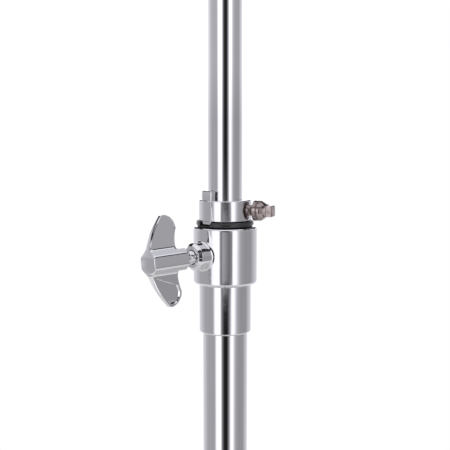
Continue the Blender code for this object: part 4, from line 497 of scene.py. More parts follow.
black_rubber = finish("black_rubber", (0.03, 0.03, 0.03), 0.75, 0.0)
vary(black_rubber, "Base Color", (120.0, 5.0), (0.3, (0.018, 0.018, 0.018)), (0.8, (0.05, 0.049, 0.047)))
vary(black_rubber, "Roughness", (260.0, 4.0), (0.3, 0.6), (0.8, 0.9))
bump(black_rubber, (1400.0, 3.0), 0.08 * MM)

grey_felt = finish("grey_felt", (0.5, 0.49, 0.47), 1.0, 0.0)
grey_felt.node_tree.nodes["Principled BSDF"].inputs["Sheen Weight"].default_value = 0.3
vary(grey_felt, "Base Color", (520.0, 6.0, (1.0, 1.0, 1.6)),
     (0.25, (0.30, 0.295, 0.28)), (0.5, (0.50, 0.49, 0.47)), (0.75, (0.68, 0.67, 0.64)))
bump(grey_felt, (1100.0, 5.0), 0.4 * MM)
print("Finishes:", [material.name for material in bpy.data.materials if "slot" in material])

# %% [markdown]
# ## The two tubes
#
# The stand is two drawn tubes, one sliding in the other. A tube could be two cylinders and a
# boolean, but a ring profile turned round its axis gives the same wall with clean rows. Its ends are
# cut and deburred, so their edges get a small radius.

# %% Upper and lower tube
WALL = 1.5 * MM
for node, body, radius in (("upper_tube", "upper", TUBE), ("lower_tube", "stand", LOWER_TUBE)):
    low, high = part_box(node)
    lathe(node, body, tube_chrome, ring(radius, radius - WALL, low.z, high.z, 0.4 * MM), 160)
    print(node, "is", round(high.z - low.z, 4), "m long")

# %% [markdown]
# ## The height collar
#
# The collar is a casting that grips the top of the lower tube: a thick ring, a ledge, and a thinner
# skirt below it. A round boss stands out of the ring for the wing screw. Where a level cylinder
# meets an upright one, the seam is a saddle curve. The boss is therefore a profile turned round the
# screw's axis whose last rows are pushed back onto the collar by
# `reach = sqrt(R^2 - (r sin v)^2)`, with a small fillet where the metal of the mould flowed together.

# %% Matrices that place a piece or a level screw
def along(x_axis, z_axis, origin):
    """Matrix whose local X and Z run along these directions."""
    x, z = Vector(x_axis).normalized(), Vector(z_axis).normalized()
    made = Matrix((x, z.cross(x), z)).transposed().to_4x4()
    made.translation = Vector(origin)
    return made


def radial(azimuth, z):
    """Matrix of a level screw: local Z runs outwards at an azimuth, and local X runs up."""
    return along((0, 0, 1), (math.cos(azimuth), math.sin(azimuth), 0), (0, 0, z))


def placed(grid, matrix):
    """The grid's points carried by a matrix."""
    m = np.array(matrix)
    return grid @ m[:3, :3].T + m[:3, 3]


print("The wing screw points along", [round(v, 3) for v in radial(WING_AZIMUTH, COLLAR_TOP).col[2].xyz])

# %% Collar ring, skirt and boss
COLLAR = 18.0 * MM
SKIRT = 14.7 * MM
LEDGE = COLLAR_TOP - 32.0 * MM
SKIRT_BOTTOM = LEDGE - 27.4 * MM
BORE = LOWER_TUBE + GAP
BOSS, BOSS_BORE, BOSS_START, BOSS_END = 7.5 * MM, 4.0 * MM, 13.5 * MM, 25.2 * MM
CHAMFER = 1.6 * MM
FILLET = 1.5 * MM
WING_Z = COLLAR_TOP - 15.0 * MM


def saddle_boss(barrel):
    """Boss round local Z: rows of (r, z), the last ones of which lie on an upright barrel."""
    v = angles(128)
    mouth = rounded([(BOSS_BORE, BOSS_START), (BOSS_BORE, BOSS_END), (BOSS - CHAMFER, BOSS_END),
                     (BOSS, BOSS_END - CHAMFER), (BOSS, BOSS_START)],
                    (0, 0.4 * MM, 0.5 * MM, 0.5 * MM, 0))[:-1]
    mouth = held(np.concatenate([mouth, [(BOSS, barrel + 2 * FILLET)]]), closed=False)
    turn = np.linspace(0, math.pi / 2, 8)
    root_r = np.concatenate([BOSS + FILLET * (1 - np.cos(turn)), [BOSS]])
    root_lift = np.concatenate([FILLET * (1 - np.sin(turn)), [-2 * FILLET]])
    saddle = np.sqrt(barrel ** 2 - (root_r[:, None] * np.sin(v)) ** 2) + root_lift[:, None]
    radii = np.concatenate([mouth[:, 0], root_r])[:, None]
    return polar(radii, v, np.concatenate([mouth[:, 1:] + 0 * v, saddle]))


collar_profile = rounded(
    [(COLLAR, COLLAR_TOP), (COLLAR, LEDGE), (SKIRT, LEDGE), (SKIRT, SKIRT_BOTTOM), (BORE, SKIRT_BOTTOM),
     (BORE, COLLAR_TOP)],
    (1.2 * MM, 2.0 * MM, 0.5 * MM, 1.0 * MM, 0.2 * MM, 0.3 * MM))
boss_grid = placed(saddle_boss(COLLAR - 0.1 * MM), radial(WING_AZIMUTH, WING_Z))
piece("height_collar", "stand", cast_chrome, [(turned(collar_profile, 160), True), (boss_grid, True)])
print("Collar ring", collar_profile.shape[0], "rows, boss", boss_grid.shape[0], "rows")

# %% [markdown]
# ## The nylon bushing
#
# A black bushing keeps the upper tube from rattling. Only its flange shows, with a notch that the
# key of the memory lock drops into, so that the tube always comes back to the same heading. The
# notch has parallel sides. Its columns therefore run at `asin(w / r)` from the middle of the notch,
# for each width w, and their points are pressed down to the floor of the notch. A boolean would cut
# the same notch, but would leave ragged faces on a rounded edge.

# %% Bushing flange with its notch
FLANGE = 15.9 * MM
FLANGE_LOW = COLLAR_TOP + GAP
FLANGE_HIGH = FLANGE_LOW + 2.8 * MM
BARREL = LOWER_TUBE - WALL - GAP
BARREL_END = FLANGE_LOW - 45 * MM
NOTCH, NOTCH_FLOOR, NOTCH_FROM = 4.05 * MM, 541.1 * MM, 10.3 * MM
ROUND_COLUMNS = 148
bushing_profile = held(rounded(
    [(FLANGE, FLANGE_HIGH), (FLANGE, FLANGE_LOW), (BARREL, FLANGE_LOW), (BARREL, BARREL_END),
     (TUBE + GAP, BARREL_END), (TUBE + GAP, FLANGE_HIGH)],
    (0.9 * MM, 0.9 * MM, 0.2 * MM, 0.9 * MM, 0.2 * MM, 0.4 * MM)))
r, z = bushing_profile[:, :1], bushing_profile[:, 1:]
widths = NOTCH * np.array([-1.0, -1.0, -0.5, 0.0, 0.5, 1.0, 1.0])
in_notch = np.concatenate([[False], np.ones(5, bool), [False], np.zeros(ROUND_COLUMNS, bool)])
edge = np.arcsin(NOTCH / r)
rest_turn = edge + (2 * math.pi - 2 * edge) * np.linspace(0, 1, ROUND_COLUMNS + 2)[1:-1]
v = WING_AZIMUTH + np.concatenate([np.arcsin(widths / r), rest_turn], 1)
z = np.where(in_notch & (r > NOTCH_FROM), np.minimum(z, NOTCH_FLOOR), z)
piece("tube_bushing", "stand", black_nylon, [(polar(r, v, z), True)])
print("Bushing with a notch", round(2 * NOTCH / MM, 2), "mm wide")

# %% [markdown]
# ## The memory lock
#
# A split ring clamps on the upper tube at the height that the player likes, and its key fits the
# notch below. The ring is turned and slit beside the key. The key is a bar with all its edges
# broken: rows of a rounded rectangle that grow out of each end along a quarter circle.


# %% Split ring, and a bar with rounded edges
def bar(half_x, half_y, low, high, edge):
    """Bar along Z with a rounded rectangle as its section, drawn in by edge at both ends."""
    turn = np.linspace(0, math.pi / 2, 5)
    inset = np.concatenate([edge * (1 - np.sin(turn)), edge * (1 - np.cos(turn))])[:, None]
    z = np.concatenate([low + edge * (1 - np.cos(turn)), high - edge * (1 - np.sin(turn))])
    section = held(rounded(
        [(half_x, half_y), (-half_x, half_y), (-half_x, -half_y), (half_x, -half_y)], (edge,) * 4))
    x = section[:, 0] * (half_x - inset) / half_x
    y = section[:, 1] * (half_y - inset) / half_y
    return np.stack([x, y, z[:, None] + 0 * x], -1)


LOCK = 14.8 * MM
LOCK_LOW = FLANGE_HIGH + GAP
LOCK_HIGH = LOCK_LOW + 11.5 * MM
SLIT_HALF, SLIT_FLOOR = 0.25 * MM, 12.0 * MM
SLIT_AT = WING_AZIMUTH + math.radians(14.3)
KEY_AT = 12.4 * MM
ROUND_COLUMNS = 159
lock_profile = held(ring(LOCK, TUBE + GAP, LOCK_LOW, LOCK_HIGH, 0.7 * MM))
r, z = lock_profile[:, :1], lock_profile[:, 1:]
slit = SLIT_AT + np.array([-1.0, -1.0, 1.0, 1.0]) * SLIT_HALF / LOCK
v = np.concatenate([slit, SLIT_AT + np.linspace(0, 2 * math.pi, ROUND_COLUMNS + 2)[1:-1]])
in_slit = np.concatenate([[False, True, True, False], np.zeros(ROUND_COLUMNS, bool)])
ring_grid = polar(np.where(in_slit, np.minimum(r, SLIT_FLOOR), r), v, z)
key_x, key_y = math.cos(WING_AZIMUTH), math.sin(WING_AZIMUTH)
key_place = along((-key_y, key_x, 0), (0, 0, 1), (KEY_AT * key_x, KEY_AT * key_y, LOCK_LOW))
key_grid = placed(bar(3.75 * MM, 1.8 * MM, -2.0 * MM, 16.7 * MM, 0.7 * MM), key_place)
piece("memory_lock", "lock", cast_chrome, [(ring_grid, True), (key_grid, False)])
print("Lock ring and key up to", round(float(key_grid[..., 2].max()), 4), "m")

# %% [markdown]
# ## Screws with square, hexagonal and knurled heads
#
# The lock is tightened with a drum key, so its screw ends in a square. A polygon can be turned too:
# `1 / (sum max(cos(v - v_k), 0)^p)^(1/p)` is the radius of a polygon of inner radius one, and a
# smaller p rounds its corners. Each row of the profile says how far it has gone from the circle to
# the polygon, so a cone can run into the square as it does on the real screw.
#
# The thread is a triangle wave in the radius that climbs one pitch a turn, and this one function cuts
# every thread of the stand. A helix and a boolean would do too, but leave thin faces at each crest.


# %% Rows and wave of a thread
def upright(radius, start, end, count):
    """Profile rows of one radius, close enough together for a thread or a knurl to show."""
    return np.stack([np.full(count, radius), np.linspace(start, end, count)], -1)


def thread(pitch, depth, low, high):
    """Wave of a screw thread: a triangle that climbs one pitch a turn, fading out at both ends."""
    def wave(v, z):
        phase = (z / pitch - v / (2 * math.pi)) % 1.0
        fade = np.clip(np.minimum(z - low, high - z) / pitch, 0, 1)
        return -depth * fade * np.abs(2 * phase - 1)
    return wave


print("A thread at its root:", round(float(thread(MM, 0.35 * MM, 0, 9 * MM)(0.0, 4 * MM)) / MM, 2), "mm")


# %% A turned shape whose rows change into a polygon
def polygon(count, sides, power, spin=0.0):
    """Radius at each angle of a polygon of inner radius one."""
    flats = spin + angles(count)
    return (np.maximum(np.cos(angles(sides)[:, None] - flats), 0) ** power).sum(1) ** (-1 / power)


def many_sided(rows, outline):
    """Rows of (r mm, z mm, w): w = 0 turns a circle, w = 1 the outline times r."""
    rows = held(np.array(rows, float) * (MM, MM, 1))
    return polar(rows[:, :1] * (1 + rows[:, 2:] * (outline - 1)), angles(len(outline)), rows[:, 1:2])


LOCK_SCREW_AZIMUTH = math.radians(-22.0)
SHANK, SHANK_LOW, SHANK_HIGH = 3.0 * MM, 10.2 * MM, 17.6 * MM
shank = np.concatenate([[(0.0, SHANK_LOW)], upright(SHANK, SHANK_LOW, SHANK_HIGH, 72), [(0.0, SHANK_HIGH)]])
shank_grid = turned(shank, 72, thread(1.0 * MM, 0.35 * MM, SHANK_LOW, SHANK_HIGH))
head_grid = many_sided(
    [(0.0, 17.4, 0), (5.2, 17.4, 0), (5.4, 17.5, 0), (5.5, 17.7, 0), (5.5, 19.4, 0), (5.42, 19.6, 0),
     (5.15, 19.7, 0), (5.15, 19.85, 0), (5.4, 20.0, 0), (5.5, 20.3, 0), (5.45, 21.4, 0), (5.25, 21.8, 0),
     (4.75, 22.6, 0.12), (4.15, 23.5, 0.4), (3.5, 24.3, 0.85), (3.1, 24.75, 1), (3.0, 25.0, 1),
     (3.0, 27.8, 1), (2.93, 28.1, 1), (2.75, 28.32, 1), (2.5, 28.4, 1), (0.0, 28.4, 1)],
    polygon(4, 144, 60.0))
piece("memory_lock_screw", "lock_screw", dark_screw_steel, [(shank_grid, False), (head_grid, False)],
      at=radial(LOCK_SCREW_AZIMUTH, (LOCK_LOW + LOCK_HIGH) / 2))
socket_grid = many_sided(
    [(0.0, 13.0, 0), (2.5, 13.0, 0), (2.5, 13.9, 0), (2.4, 14.15, 0), (2.1, 14.3, 0), (1.35, 14.3, 1),
     (1.25, 14.2, 1), (1.25, 13.5, 1), (0.0, 13.3, 1)],
    polygon(6, 144, 40.0))
piece("collar_set_screw", "stand", dark_screw_steel, [(socket_grid, False)],
      at=radial(0.0, COLLAR_TOP - 46 * MM))
print("Drum-key screw of", head_grid.shape[0], "rows, and a set screw with a hexagon socket")

# %% [markdown]
# ## The wing screw
#
# The wing screw is the largest casting of the joint: a leaf-shaped blade with an eight-sided barrel
# through its middle. It could be sculpted, but every face of it can be written down. A row is a
# section across the blade at the height x above the axis, a closed loop in the (z, y) plane:
#
# - the outer edge is the parabola `z = outer - curve x^2`, the inner edge is slightly hollow, and
#   both end in an arc of the tip's radius;
# - the half thickness is `T(x) = (thin + taper (1 - x / top) + hub exp(-(x / width)^2)) / 2`, and in
#   the middle the barrel's eight-sided outline where that is thicker, with rounded corners and a
#   small fillet where the blade grows out of it;
# - the recessed panel of each wing lowers the loop behind a slanting crease, and the rows lean with
#   the crease, so that its edge stays sharp.

# %% Rows and columns of the wing screw, all in mm
SPAN, TIP, TIP_AT, INNER, OUTER, CURVE = 24.2, 7.6, 42.4, 36.6, 55.4, 0.0195
HOLLOW, HOLLOW_FROM = 1.8, 8.0
THIN, TAPER, TAPER_END, HUB, HUB_WIDTH = 2.2, 2.1, 22.2, 6.7, 4.2
BARREL_HALF, BARREL_FLAT, BARREL_START, BARREL_CHAMFER = 5.7, 3.1, 30.5, 1.5
BARREL_ROUND, ROOT_ROUND, END_SHARE, SEAM = 0.9, 0.55, 0.8, 0.15
PANEL_START, PANEL_END, PANEL_SLANT, PANEL_DEPTH, CREASE = 8.0, 22.4, 5.0, 0.7, 0.7
NARROW = 8.0
NECK, NECK_END, THREAD_END, BREAK = 3.7, 30.9, 29.0, 0.5
TIP_TURN = np.radians([9, 18, 27, 36, 45, 53, 61, 68, 75, 81, 85])
BARREL_ROWS = np.array([0.0, 1.1, 2.0, 2.15, 2.3, 2.5, 2.7, 2.9, 3.1, 3.3, 3.5, 3.7, 3.9, 4.05, 4.2, 4.8, 5.4,
                        5.55, BARREL_HALF])
BLADE_ROWS = np.concatenate([np.linspace(BARREL_HALF, 7.2, 22), [7.6, PANEL_START, PANEL_START + CREASE],
                             np.linspace(9.4, SPAN - TIP, 16), SPAN - TIP + TIP * np.sin(TIP_TURN)])
# Column: share of the way from inner to outer edge, offset in mm, drop from the face (1 in the panel).
COLUMNS = np.array([(0, 0, 0.9), (0, 0.3, 0.45), (0, 0.8, 0.15), (0, 1.5, 0), (0, 1.9, 0), (0, 2.4, 1),
                    (0.25, 1.2, 1), (0.5, 0, 1), (0.75, -1.2, 1), (1, -2.3, 1), (1, -1.8, 0), (1, -0.5, 0),
                    (1, -0.15, 0.15), (1, 0, 0.5)])
PANEL = COLUMNS[:, 2] == 1
print("Wing screw:", len(BARREL_ROWS) + len(BLADE_ROWS), "rows from its middle to a tip")


# %% One face of the wing screw
def soft_corner(value, radius):
    """0 below -radius, value above radius, and between them the parabola that touches both."""
    past = np.clip(value + radius, 0, None)
    return np.where(past < 2 * radius, past ** 2 / (4 * radius), past - radius)


def wing_loop(height, in_barrel, side):
    """One face of the wing screw, y = side * thickness, as (rows, columns, 3) in mm."""
    size, sign = np.abs(height)[:, None], np.sign(height)[:, None]
    share, offset, drop = COLUMNS.T
    x = size + np.interp(size, (BARREL_HALF, PANEL_START, PANEL_END), (0, PANEL_SLANT, 0)) * (1 - share)
    over = x > SPAN - TIP
    reach = np.sqrt(np.maximum(TIP ** 2 - np.maximum(x - (SPAN - TIP), 0) ** 2, 0))
    inner = INNER - HOLLOW * np.clip((x - HOLLOW_FROM) / (SPAN - TIP - HOLLOW_FROM), 0, 1) ** 2
    inner = np.where(over, np.maximum(inner, TIP_AT - reach), inner)
    outer = OUTER - CURVE * x ** 2
    outer = np.where(over, np.minimum(outer, TIP_AT + reach), outer)
    z = inner + share * (outer - inner) + offset * np.clip((outer - inner) / NARROW, 0, 1)
    thick = (THIN + TAPER * np.clip(1 - x / TAPER_END, 0, 1) + HUB * np.exp(-(x / HUB_WIDTH) ** 2)) / 2
    barrel = BARREL_HALF - soft_corner(x - BARREL_FLAT, BARREL_ROUND)
    root = thick + soft_corner(BARREL_HALF + BARREL_FLAT - x - thick, ROOT_ROUND)
    face = np.where(in_barrel[:, None], np.maximum(barrel, thick), root)
    in_panel = np.interp(size, (PANEL_START, PANEL_START + CREASE, PANEL_END - CREASE, PANEL_END),
                         (0, 1, 1, 0))
    y = face - np.where(PANEL, PANEL_DEPTH * in_panel * (sign == side), np.minimum(drop, face / 2))
    z[in_barrel, :4] = BARREL_START, BARREL_START + BARREL_CHAMFER, INNER - SEAM, INNER + SEAM
    y[in_barrel, :3] = barrel[in_barrel, :3] * (END_SHARE, 1, 1)
    y[in_barrel, 3] = face[in_barrel, 3]
    y[in_barrel, -1] = np.minimum(y[in_barrel, -1], thick[in_barrel, -1])
    x[in_barrel, 0] *= END_SHARE
    return np.stack([sign * x, side * y, z], -1)


sample = wing_loop(np.array([12.0]), np.array([False]), 1)
print("12 mm above its axis the blade is", round(2 * float(sample[0, 3, 1]), 2), "mm thick")


# %% Blade, barrel and neck together
def wing_screw(node, body, z, azimuth, tip, scale=1.0, lean=0.0):
    """Blade and barrel as one loop per row, with a threaded neck that starts at the tip."""
    sizes = np.concatenate([BARREL_ROWS, BLADE_ROWS])
    in_barrel = np.arange(len(sizes)) < len(BARREL_ROWS)
    height = np.concatenate([-sizes[::-1], sizes[1:]])
    height[len(sizes) - 1] = 1e-6
    inside = np.concatenate([in_barrel[::-1], in_barrel[1:]])
    loop = np.concatenate([wing_loop(height, inside, 1), wing_loop(height, inside, -1)[:, ::-1]], 1)
    tip = tip / MM / scale
    neck = np.concatenate([[(0, tip), (NECK - BREAK, tip), (NECK, tip + BREAK)],
                           upright(NECK, tip + 0.7, NECK_END, 130), [(0, NECK_END)]])
    neck = turned(neck, 96, thread(1.25, 0.4, tip, THREAD_END))
    at = radial(azimuth, z) @ Matrix.Rotation(lean, 4, "Z") @ Matrix.Scale(scale * MM, 4)
    piece(node, body, cast_chrome, [(loop, False), (neck, False)], 24.0, at)


wing_screw("height_wing_screw", "height_screw", WING_Z, WING_AZIMUTH, BARREL + GAP, lean=math.radians(8.0))
print("Wing screw:", 2 * (len(BARREL_ROWS) + len(BLADE_ROWS)) - 1, "rows of", 2 * len(COLUMNS), "points")

# %% [markdown]
# ## The same screw twice more
#
# A maker casts one wing screw and uses it wherever a hand has to tighten something. The sliding hub
# of the legs has the same screw, and the clutch of the upper cymbal has a smaller one. The function
# takes the place, the heading and a scale, so both cost one line.

# %% Wing screws of the leg hub and of the clutch
LEG_HUB_Z = 303 * MM
BRACE_HUB_Z = 167 * MM
CLUTCH_TOP = 1060 * MM
LEG_WING_AZIMUTH = math.radians(30)
wing_screw("leg_hub_wing_screw", "leg_hub_screw", LEG_HUB_Z, LEG_WING_AZIMUTH, LOWER_TUBE + GAP)
wing_screw("clutch_wing_screw", "clutch_screw", CLUTCH_TOP - 12 * MM, WING_AZIMUTH, 3.3 * MM, scale=0.62)
print("Three wing screws from one function")

# %% [markdown]
# ## Nuts, knurls and hexagon heads
#
# The corners of a nut are cut by a cone, so that they don't raise a burr. The radius of such a nut is
# the smaller of two: the hexagon, and a circle that grows with the depth below the face. Their
# meeting line is the scalloped curve seen on every real nut. A knurl is a fine saw of ridges, which
# fades out before the edges because the wheel that rolls it is narrower than the head.

# %% Nut and knurl
KNURL_FADE, KNURL_EDGE = 0.4 * MM, 0.6 * MM


def nut(flat, low, high, bore=0.0, one_sided=False):
    """Closed grid of min(hexagon of inner radius flat, 0.965 flat + 1.73 depth); no bore makes a head."""
    depth = flat * np.array([0, 0.006, 0.02, 0.045, 0.07, 0.095])
    limit = 0.965 * flat + 1.73 * np.concatenate([depth + flat * one_sided, depth[::-1]])
    side = np.minimum(flat * polygon(6, 192, 90.0, math.pi / 6), limit[:, None])
    end = np.full((1, 192), bore)
    z = np.concatenate([[low], low + depth, high - depth[::-1], [high]])[:, None]
    return polar(np.concatenate([end, side, end]), angles(192), z)


def knurl(count, depth, low, high):
    """Wave of straight ridges between two heights, fading out near both."""
    def wave(v, z):
        fade = np.clip(np.minimum(z - low, high - z) / KNURL_FADE, 0, 1)
        return -depth * fade * (0.5 + 0.5 * np.cos(count * v)) ** 0.7
    return wave


def knurled(outer, low, high, count, depth):
    """Knurled head, with enough rows for the knurl to fade."""
    edge = KNURL_EDGE
    profile = [(0, high), (outer - edge, high), (outer - edge / 3, high - edge / 3),
               *upright(outer, high - edge, low + edge, 7),
               (outer - edge / 3, low + edge / 3), (outer - edge, low), (0, low)]
    return turned(profile, 6 * count, knurl(count, depth, low + edge / 2, high - edge / 2))


print("Rows and columns of a nut:", nut(9 * MM, 0.0, 5 * MM).shape[:2])

# %% Round bars, hexagon screws and spurs
HEX_SEAT, HEX_HEIGHT = 18.6 * MM, 5.0 * MM
SPUR_X, SPUR_Y = 34 * MM, -22.5 * MM


def rod(radius, low, high, edge, tip=None):
    """Round bar with rounded ends, or with a point at its lower end."""
    turn = np.linspace(0, math.pi / 2, 5)
    top = np.stack([radius - edge * (1 - np.sin(turn)), high - edge * (1 - np.cos(turn))], -1)
    bottom = np.stack([radius - edge * (1 - np.cos(turn)), low + edge * (1 - np.sin(turn))], -1)
    if tip is not None:
        bottom = np.array([(radius, low + tip), (0.12 * radius, low + 0.12 * tip), (0.05 * radius, low)])
    return np.concatenate([[(0, high)], top, bottom, [(0, low)]])


def hex_screw(node, azimuth, z):
    """Hexagon-head screw that stands radially in a hub."""
    shank = turned(rod(SHANK, LOWER_TUBE + GAP, HEX_SEAT + MM, 0.4 * MM), 48)
    head = nut(5.0 * MM, HEX_SEAT, HEX_SEAT + HEX_HEIGHT, one_sided=True)
    piece(node, "stand", dark_screw_steel, [(shank, False), (head, False)], at=radial(azimuth, z))


hex_screw("base_screw", math.pi / 2, 137 * MM)
hex_screw("brace_hub_screw", LEG_WING_AZIMUTH, BRACE_HUB_Z)
SPUR_THREAD = 8.6 * MM, 28.4 * MM
point = rod(SHANK, 1.5 * MM, 29.0 * MM, 0.3 * MM, tip=7.0 * MM)
# The rows of the thread go in after the six rows of the top end.
point = np.concatenate([point[:6], upright(SHANK, *SPUR_THREAD[::-1], 90), point[6:]])
spur_grids = [(turned(point, 60, thread(1.0 * MM, 0.4 * MM, *SPUR_THREAD)), False),
              (knurled(7.0 * MM, 28.5 * MM, 35.5 * MM, 40, 0.45 * MM), False)]
for node, x in (("spur_left", -SPUR_X), ("spur_right", SPUR_X)):
    piece(node, node, turned_chrome, spur_grids, at=Matrix.Translation((x, SPUR_Y, 0)))
print("Two hexagon screws, and spurs of", len(point), "rows")

# %% [markdown]
# ## The seat of the lower cymbal
#
# A cup sits on the end of the upper tube. It is one closed profile with its own radius at each
# corner: the large ones are as cast, the small ones are broken edges. Below it a boss takes the
# knurled screw that tips the washer, and with it the cymbal.

# %% Cup, washer and tilt screw
SEAT_TOP = 810 * MM
cup_corners = [(6.0, 15.3), (6.0, 3.3), (24.0, 3.3), (24.0, 8.3), (26.0, 8.3), (26.0, 2.3), (23.0, -0.7),
               (12.8, -2.7), (12.8, -22.0), (9.825, -22.0), (9.825, 0.3), (4.2, 0.3), (4.2, 15.3)]
cup_radii = (0.6, 1.5, 1.2, 0.7, 0.7, 2.5, 2.0, 3.0, 0.8, 0.3, 0, 0.2, 0.4)
cup_profile = rounded(np.array(cup_corners) * MM, np.array(cup_radii) * MM) + (0, SEAT_TOP)
boss_profile = ring(4.5 * MM, 2.8 * MM, SEAT_TOP - 6.7 * MM, SEAT_TOP + 2.2 * MM, 0.5 * MM)
boss_place = Matrix.Translation((19 * MM, 0, 0))
piece("seat_cup", "upper", cast_chrome,
      [(turned(cup_profile, 192), True), (placed(turned(boss_profile, 64), boss_place), True)])
lathe("seat_washer", "seat", turned_chrome,
      ring(21 * MM, 7.8 * MM, SEAT_TOP + 3.6 * MM, SEAT_TOP + 5.1 * MM, 0.4 * MM), 160)
tilt_shank = MM * np.concatenate([[(0, 813.3), (2.1, 813.3), (2.5, 812.9)], upright(2.5, 812.7, 799.8, 70),
                                  [(0, 799.8)]])
piece("tilt_screw", "tilt_knob", turned_chrome,
      [(turned(tilt_shank, 60, thread(0.8 * MM, 0.35 * MM, 800 * MM, 812.8 * MM)), False),
       (knurled(5.5 * MM, 794.3 * MM, 800.3 * MM, 36, 0.4 * MM), False)], at=boss_place)
print("Seat cup:", cup_profile.shape[0], "rows")

# %% [markdown]
# ## Felt
#
# Felt washers are punched from pressed wool. The cut edge is fuzzy and bulges a little, and the
# faces are dimpled. A sum of waves in the angle and the height moves the surface by a few tenths of
# a millimetre, always inwards, and the fine bump and the sheen of the finish give the fibres.

# %% Felt washers
RIM_ROUND, RIM_INSET, FUZZ = 0.9 * MM, 0.13 * MM, 0.06 * MM
DIMPLE, EDGE_WIDTH, EDGE_DROP = 0.09 * MM, 1.6 * MM, 0.4 * MM


def felt(node, body, outer, bore, low, high):
    """Washer r(u), z(u) whose rim is round and drawn in by waves, and whose faces are dimpled by waves."""
    faces = ((outer, bore, low), (bore, outer, high))
    profile = np.concatenate([upright(outer, high, low, 20)[1:-1],
                              *(np.stack([np.linspace(a, b, 14), np.full(14, z)], -1) for a, b, z in faces)])
    v = angles(240)
    r, z = profile[:, :1], profile[:, 1:]
    share = (z - (low + high) / 2) / ((high - low) / 2)
    round_off = RIM_ROUND * (1 - np.sqrt(np.maximum(1 - np.abs(share) ** 6, 0)))
    fuzz = np.sin(23 * v + 630 * z / outer) * np.sin(37 * v - 40 * share) + np.sin(71 * v + 9 * share)
    dimple = DIMPLE * (np.sin(11 * v + r * 900) * np.sin(17 * v - r * 1300) + 1)
    radius = np.where(r > 0.98 * outer, r - round_off - RIM_INSET + FUZZ * fuzz, r)
    inside = np.clip((outer - r) / EDGE_WIDTH, 0, 1)
    drop = (dimple * inside + EDGE_DROP * (1 - inside) ** 2) * (np.abs(share) > 0.99)
    made = piece(node, body, grey_felt, [(polar(radius, v, z - np.sign(share) * drop), True)], 60.0)


felt("seat_felt", "seat", 19 * MM, 7.8 * MM, SEAT_TOP + 5.4 * MM, SEAT_TOP + 13.4 * MM)
felt("clutch_upper_felt", "clutch", 15 * MM, 6.1 * MM, 1016.4 * MM, 1023.4 * MM)
felt("clutch_lower_felt", "clutch", 15 * MM, 6.1 * MM, 1004.4 * MM, 1011.4 * MM)
print("Three felts")

# %% [markdown]
# ## The clutch
#
# The clutch hangs on the pull rod: a head with the wing screw, and a long threaded stem with two
# nuts above the felts and a knurled foot nut below them. The stem's thread is the same wave as on
# the screws, with a pitch of 1.25 mm.

# %% Clutch head, stem, nuts and foot nut
head_profile = rounded(np.array([(9.5, 1060), (9.5, 1036), (3.3, 1036), (3.3, 1060)]) * MM,
                       np.array([2.0, 1.0, 0, 0.5]) * MM)
stem_profile = MM * np.array([(3.3, 1036.5), *upright(5.8, 1036.5, 982.9, 260), (5.6, 982.4), (5.0, 982.0),
                              (3.6, 982.0), (3.3, 982.3)])
stem_grid = turned(stem_profile, 80, thread(1.25 * MM, 0.5 * MM, 982.9 * MM, 1035.5 * MM))
piece("clutch_body", "clutch", turned_chrome, [(turned(head_profile, 128), True), (stem_grid, True)])
for node, low in (("clutch_lock_nut", 1029), ("clutch_upper_nut", 1023.7)):
    piece(node, "clutch", turned_chrome, [(nut(9 * MM, low * MM, (low + 5) * MM, bore=6.1 * MM), True)])
foot_profile = MM * np.array([(6.1, 1004.1), (9.2, 1004.1), (9.8, 1003.9), *upright(10.0, 1003.5, 1000.3, 9),
                              (9.8, 999.9), (9.2, 999.1), (8.5, 998.7), (8.1, 998.3), (7.75, 994.2),
                              (7.5, 993.5), (6.9, 993.1), (6.1, 993.1)])
lathe("clutch_foot_nut", "clutch_foot", turned_chrome, foot_profile, 240,
      knurl(40, 0.4 * MM, 1000.2 * MM, 1003.7 * MM))
print("Clutch: stem of", len(stem_profile), "rows")

# %% [markdown]
# ## Pull rod and return spring
#
# The pull rod runs through both tubes, from the yoke over the pedal to the clutch. The spring is one
# wire on a helix. Its section is a circle in the plane of the helix's normal and binormal:
# `P = C(t) + a (cos w N(t) + sin w B(t))`, with `N` pointing away from the rod. The pedal pulls the
# rod down by 24 mm, and the spring shortens by as much against the seat below it.

# %% Rods, coupling and rings
lathe("upper_pull_rod", "pull_rod", tube_chrome, rod(3 * MM, 385.3 * MM, 1090 * MM, 1.0 * MM), 64)
lathe("lower_pull_rod", "pull_rod", tube_chrome, rod(4 * MM, 103 * MM, 379.3 * MM, 0.5 * MM), 64)
coupling_corners = [(3.3, 385.0), (3.3, 397.3), (6, 397.3), (6, 367.3), (4.3, 367.3), (4.3, 379.6)]
coupling = rounded(np.array(coupling_corners) * MM, np.array([0, 0.2, 0.8, 0.8, 0.2, 0]) * MM)
coupling = np.concatenate([[(0, 385.0 * MM)], coupling, [(0, 379.6 * MM)]])
lathe("rod_coupling", "pull_rod", turned_chrome, coupling, 96)
for node, body, material, outer, bore, low, high in (
        ("spring_collar", "pull_rod", turned_chrome, 10.5, 4.3, 320.9, 328.9),
        ("rod_guide", "stand", black_nylon, 10.9, 4.3, 329.2, 339.2),
        ("spring_seat", "stand", black_nylon, 10.9, 4.6, 200.0, 206.0)):
    lathe(node, body, material, ring(outer * MM, bore * MM, low * MM, high * MM, 0.6 * MM), 96)
print("Coupling:", len(coupling), "points in its profile")

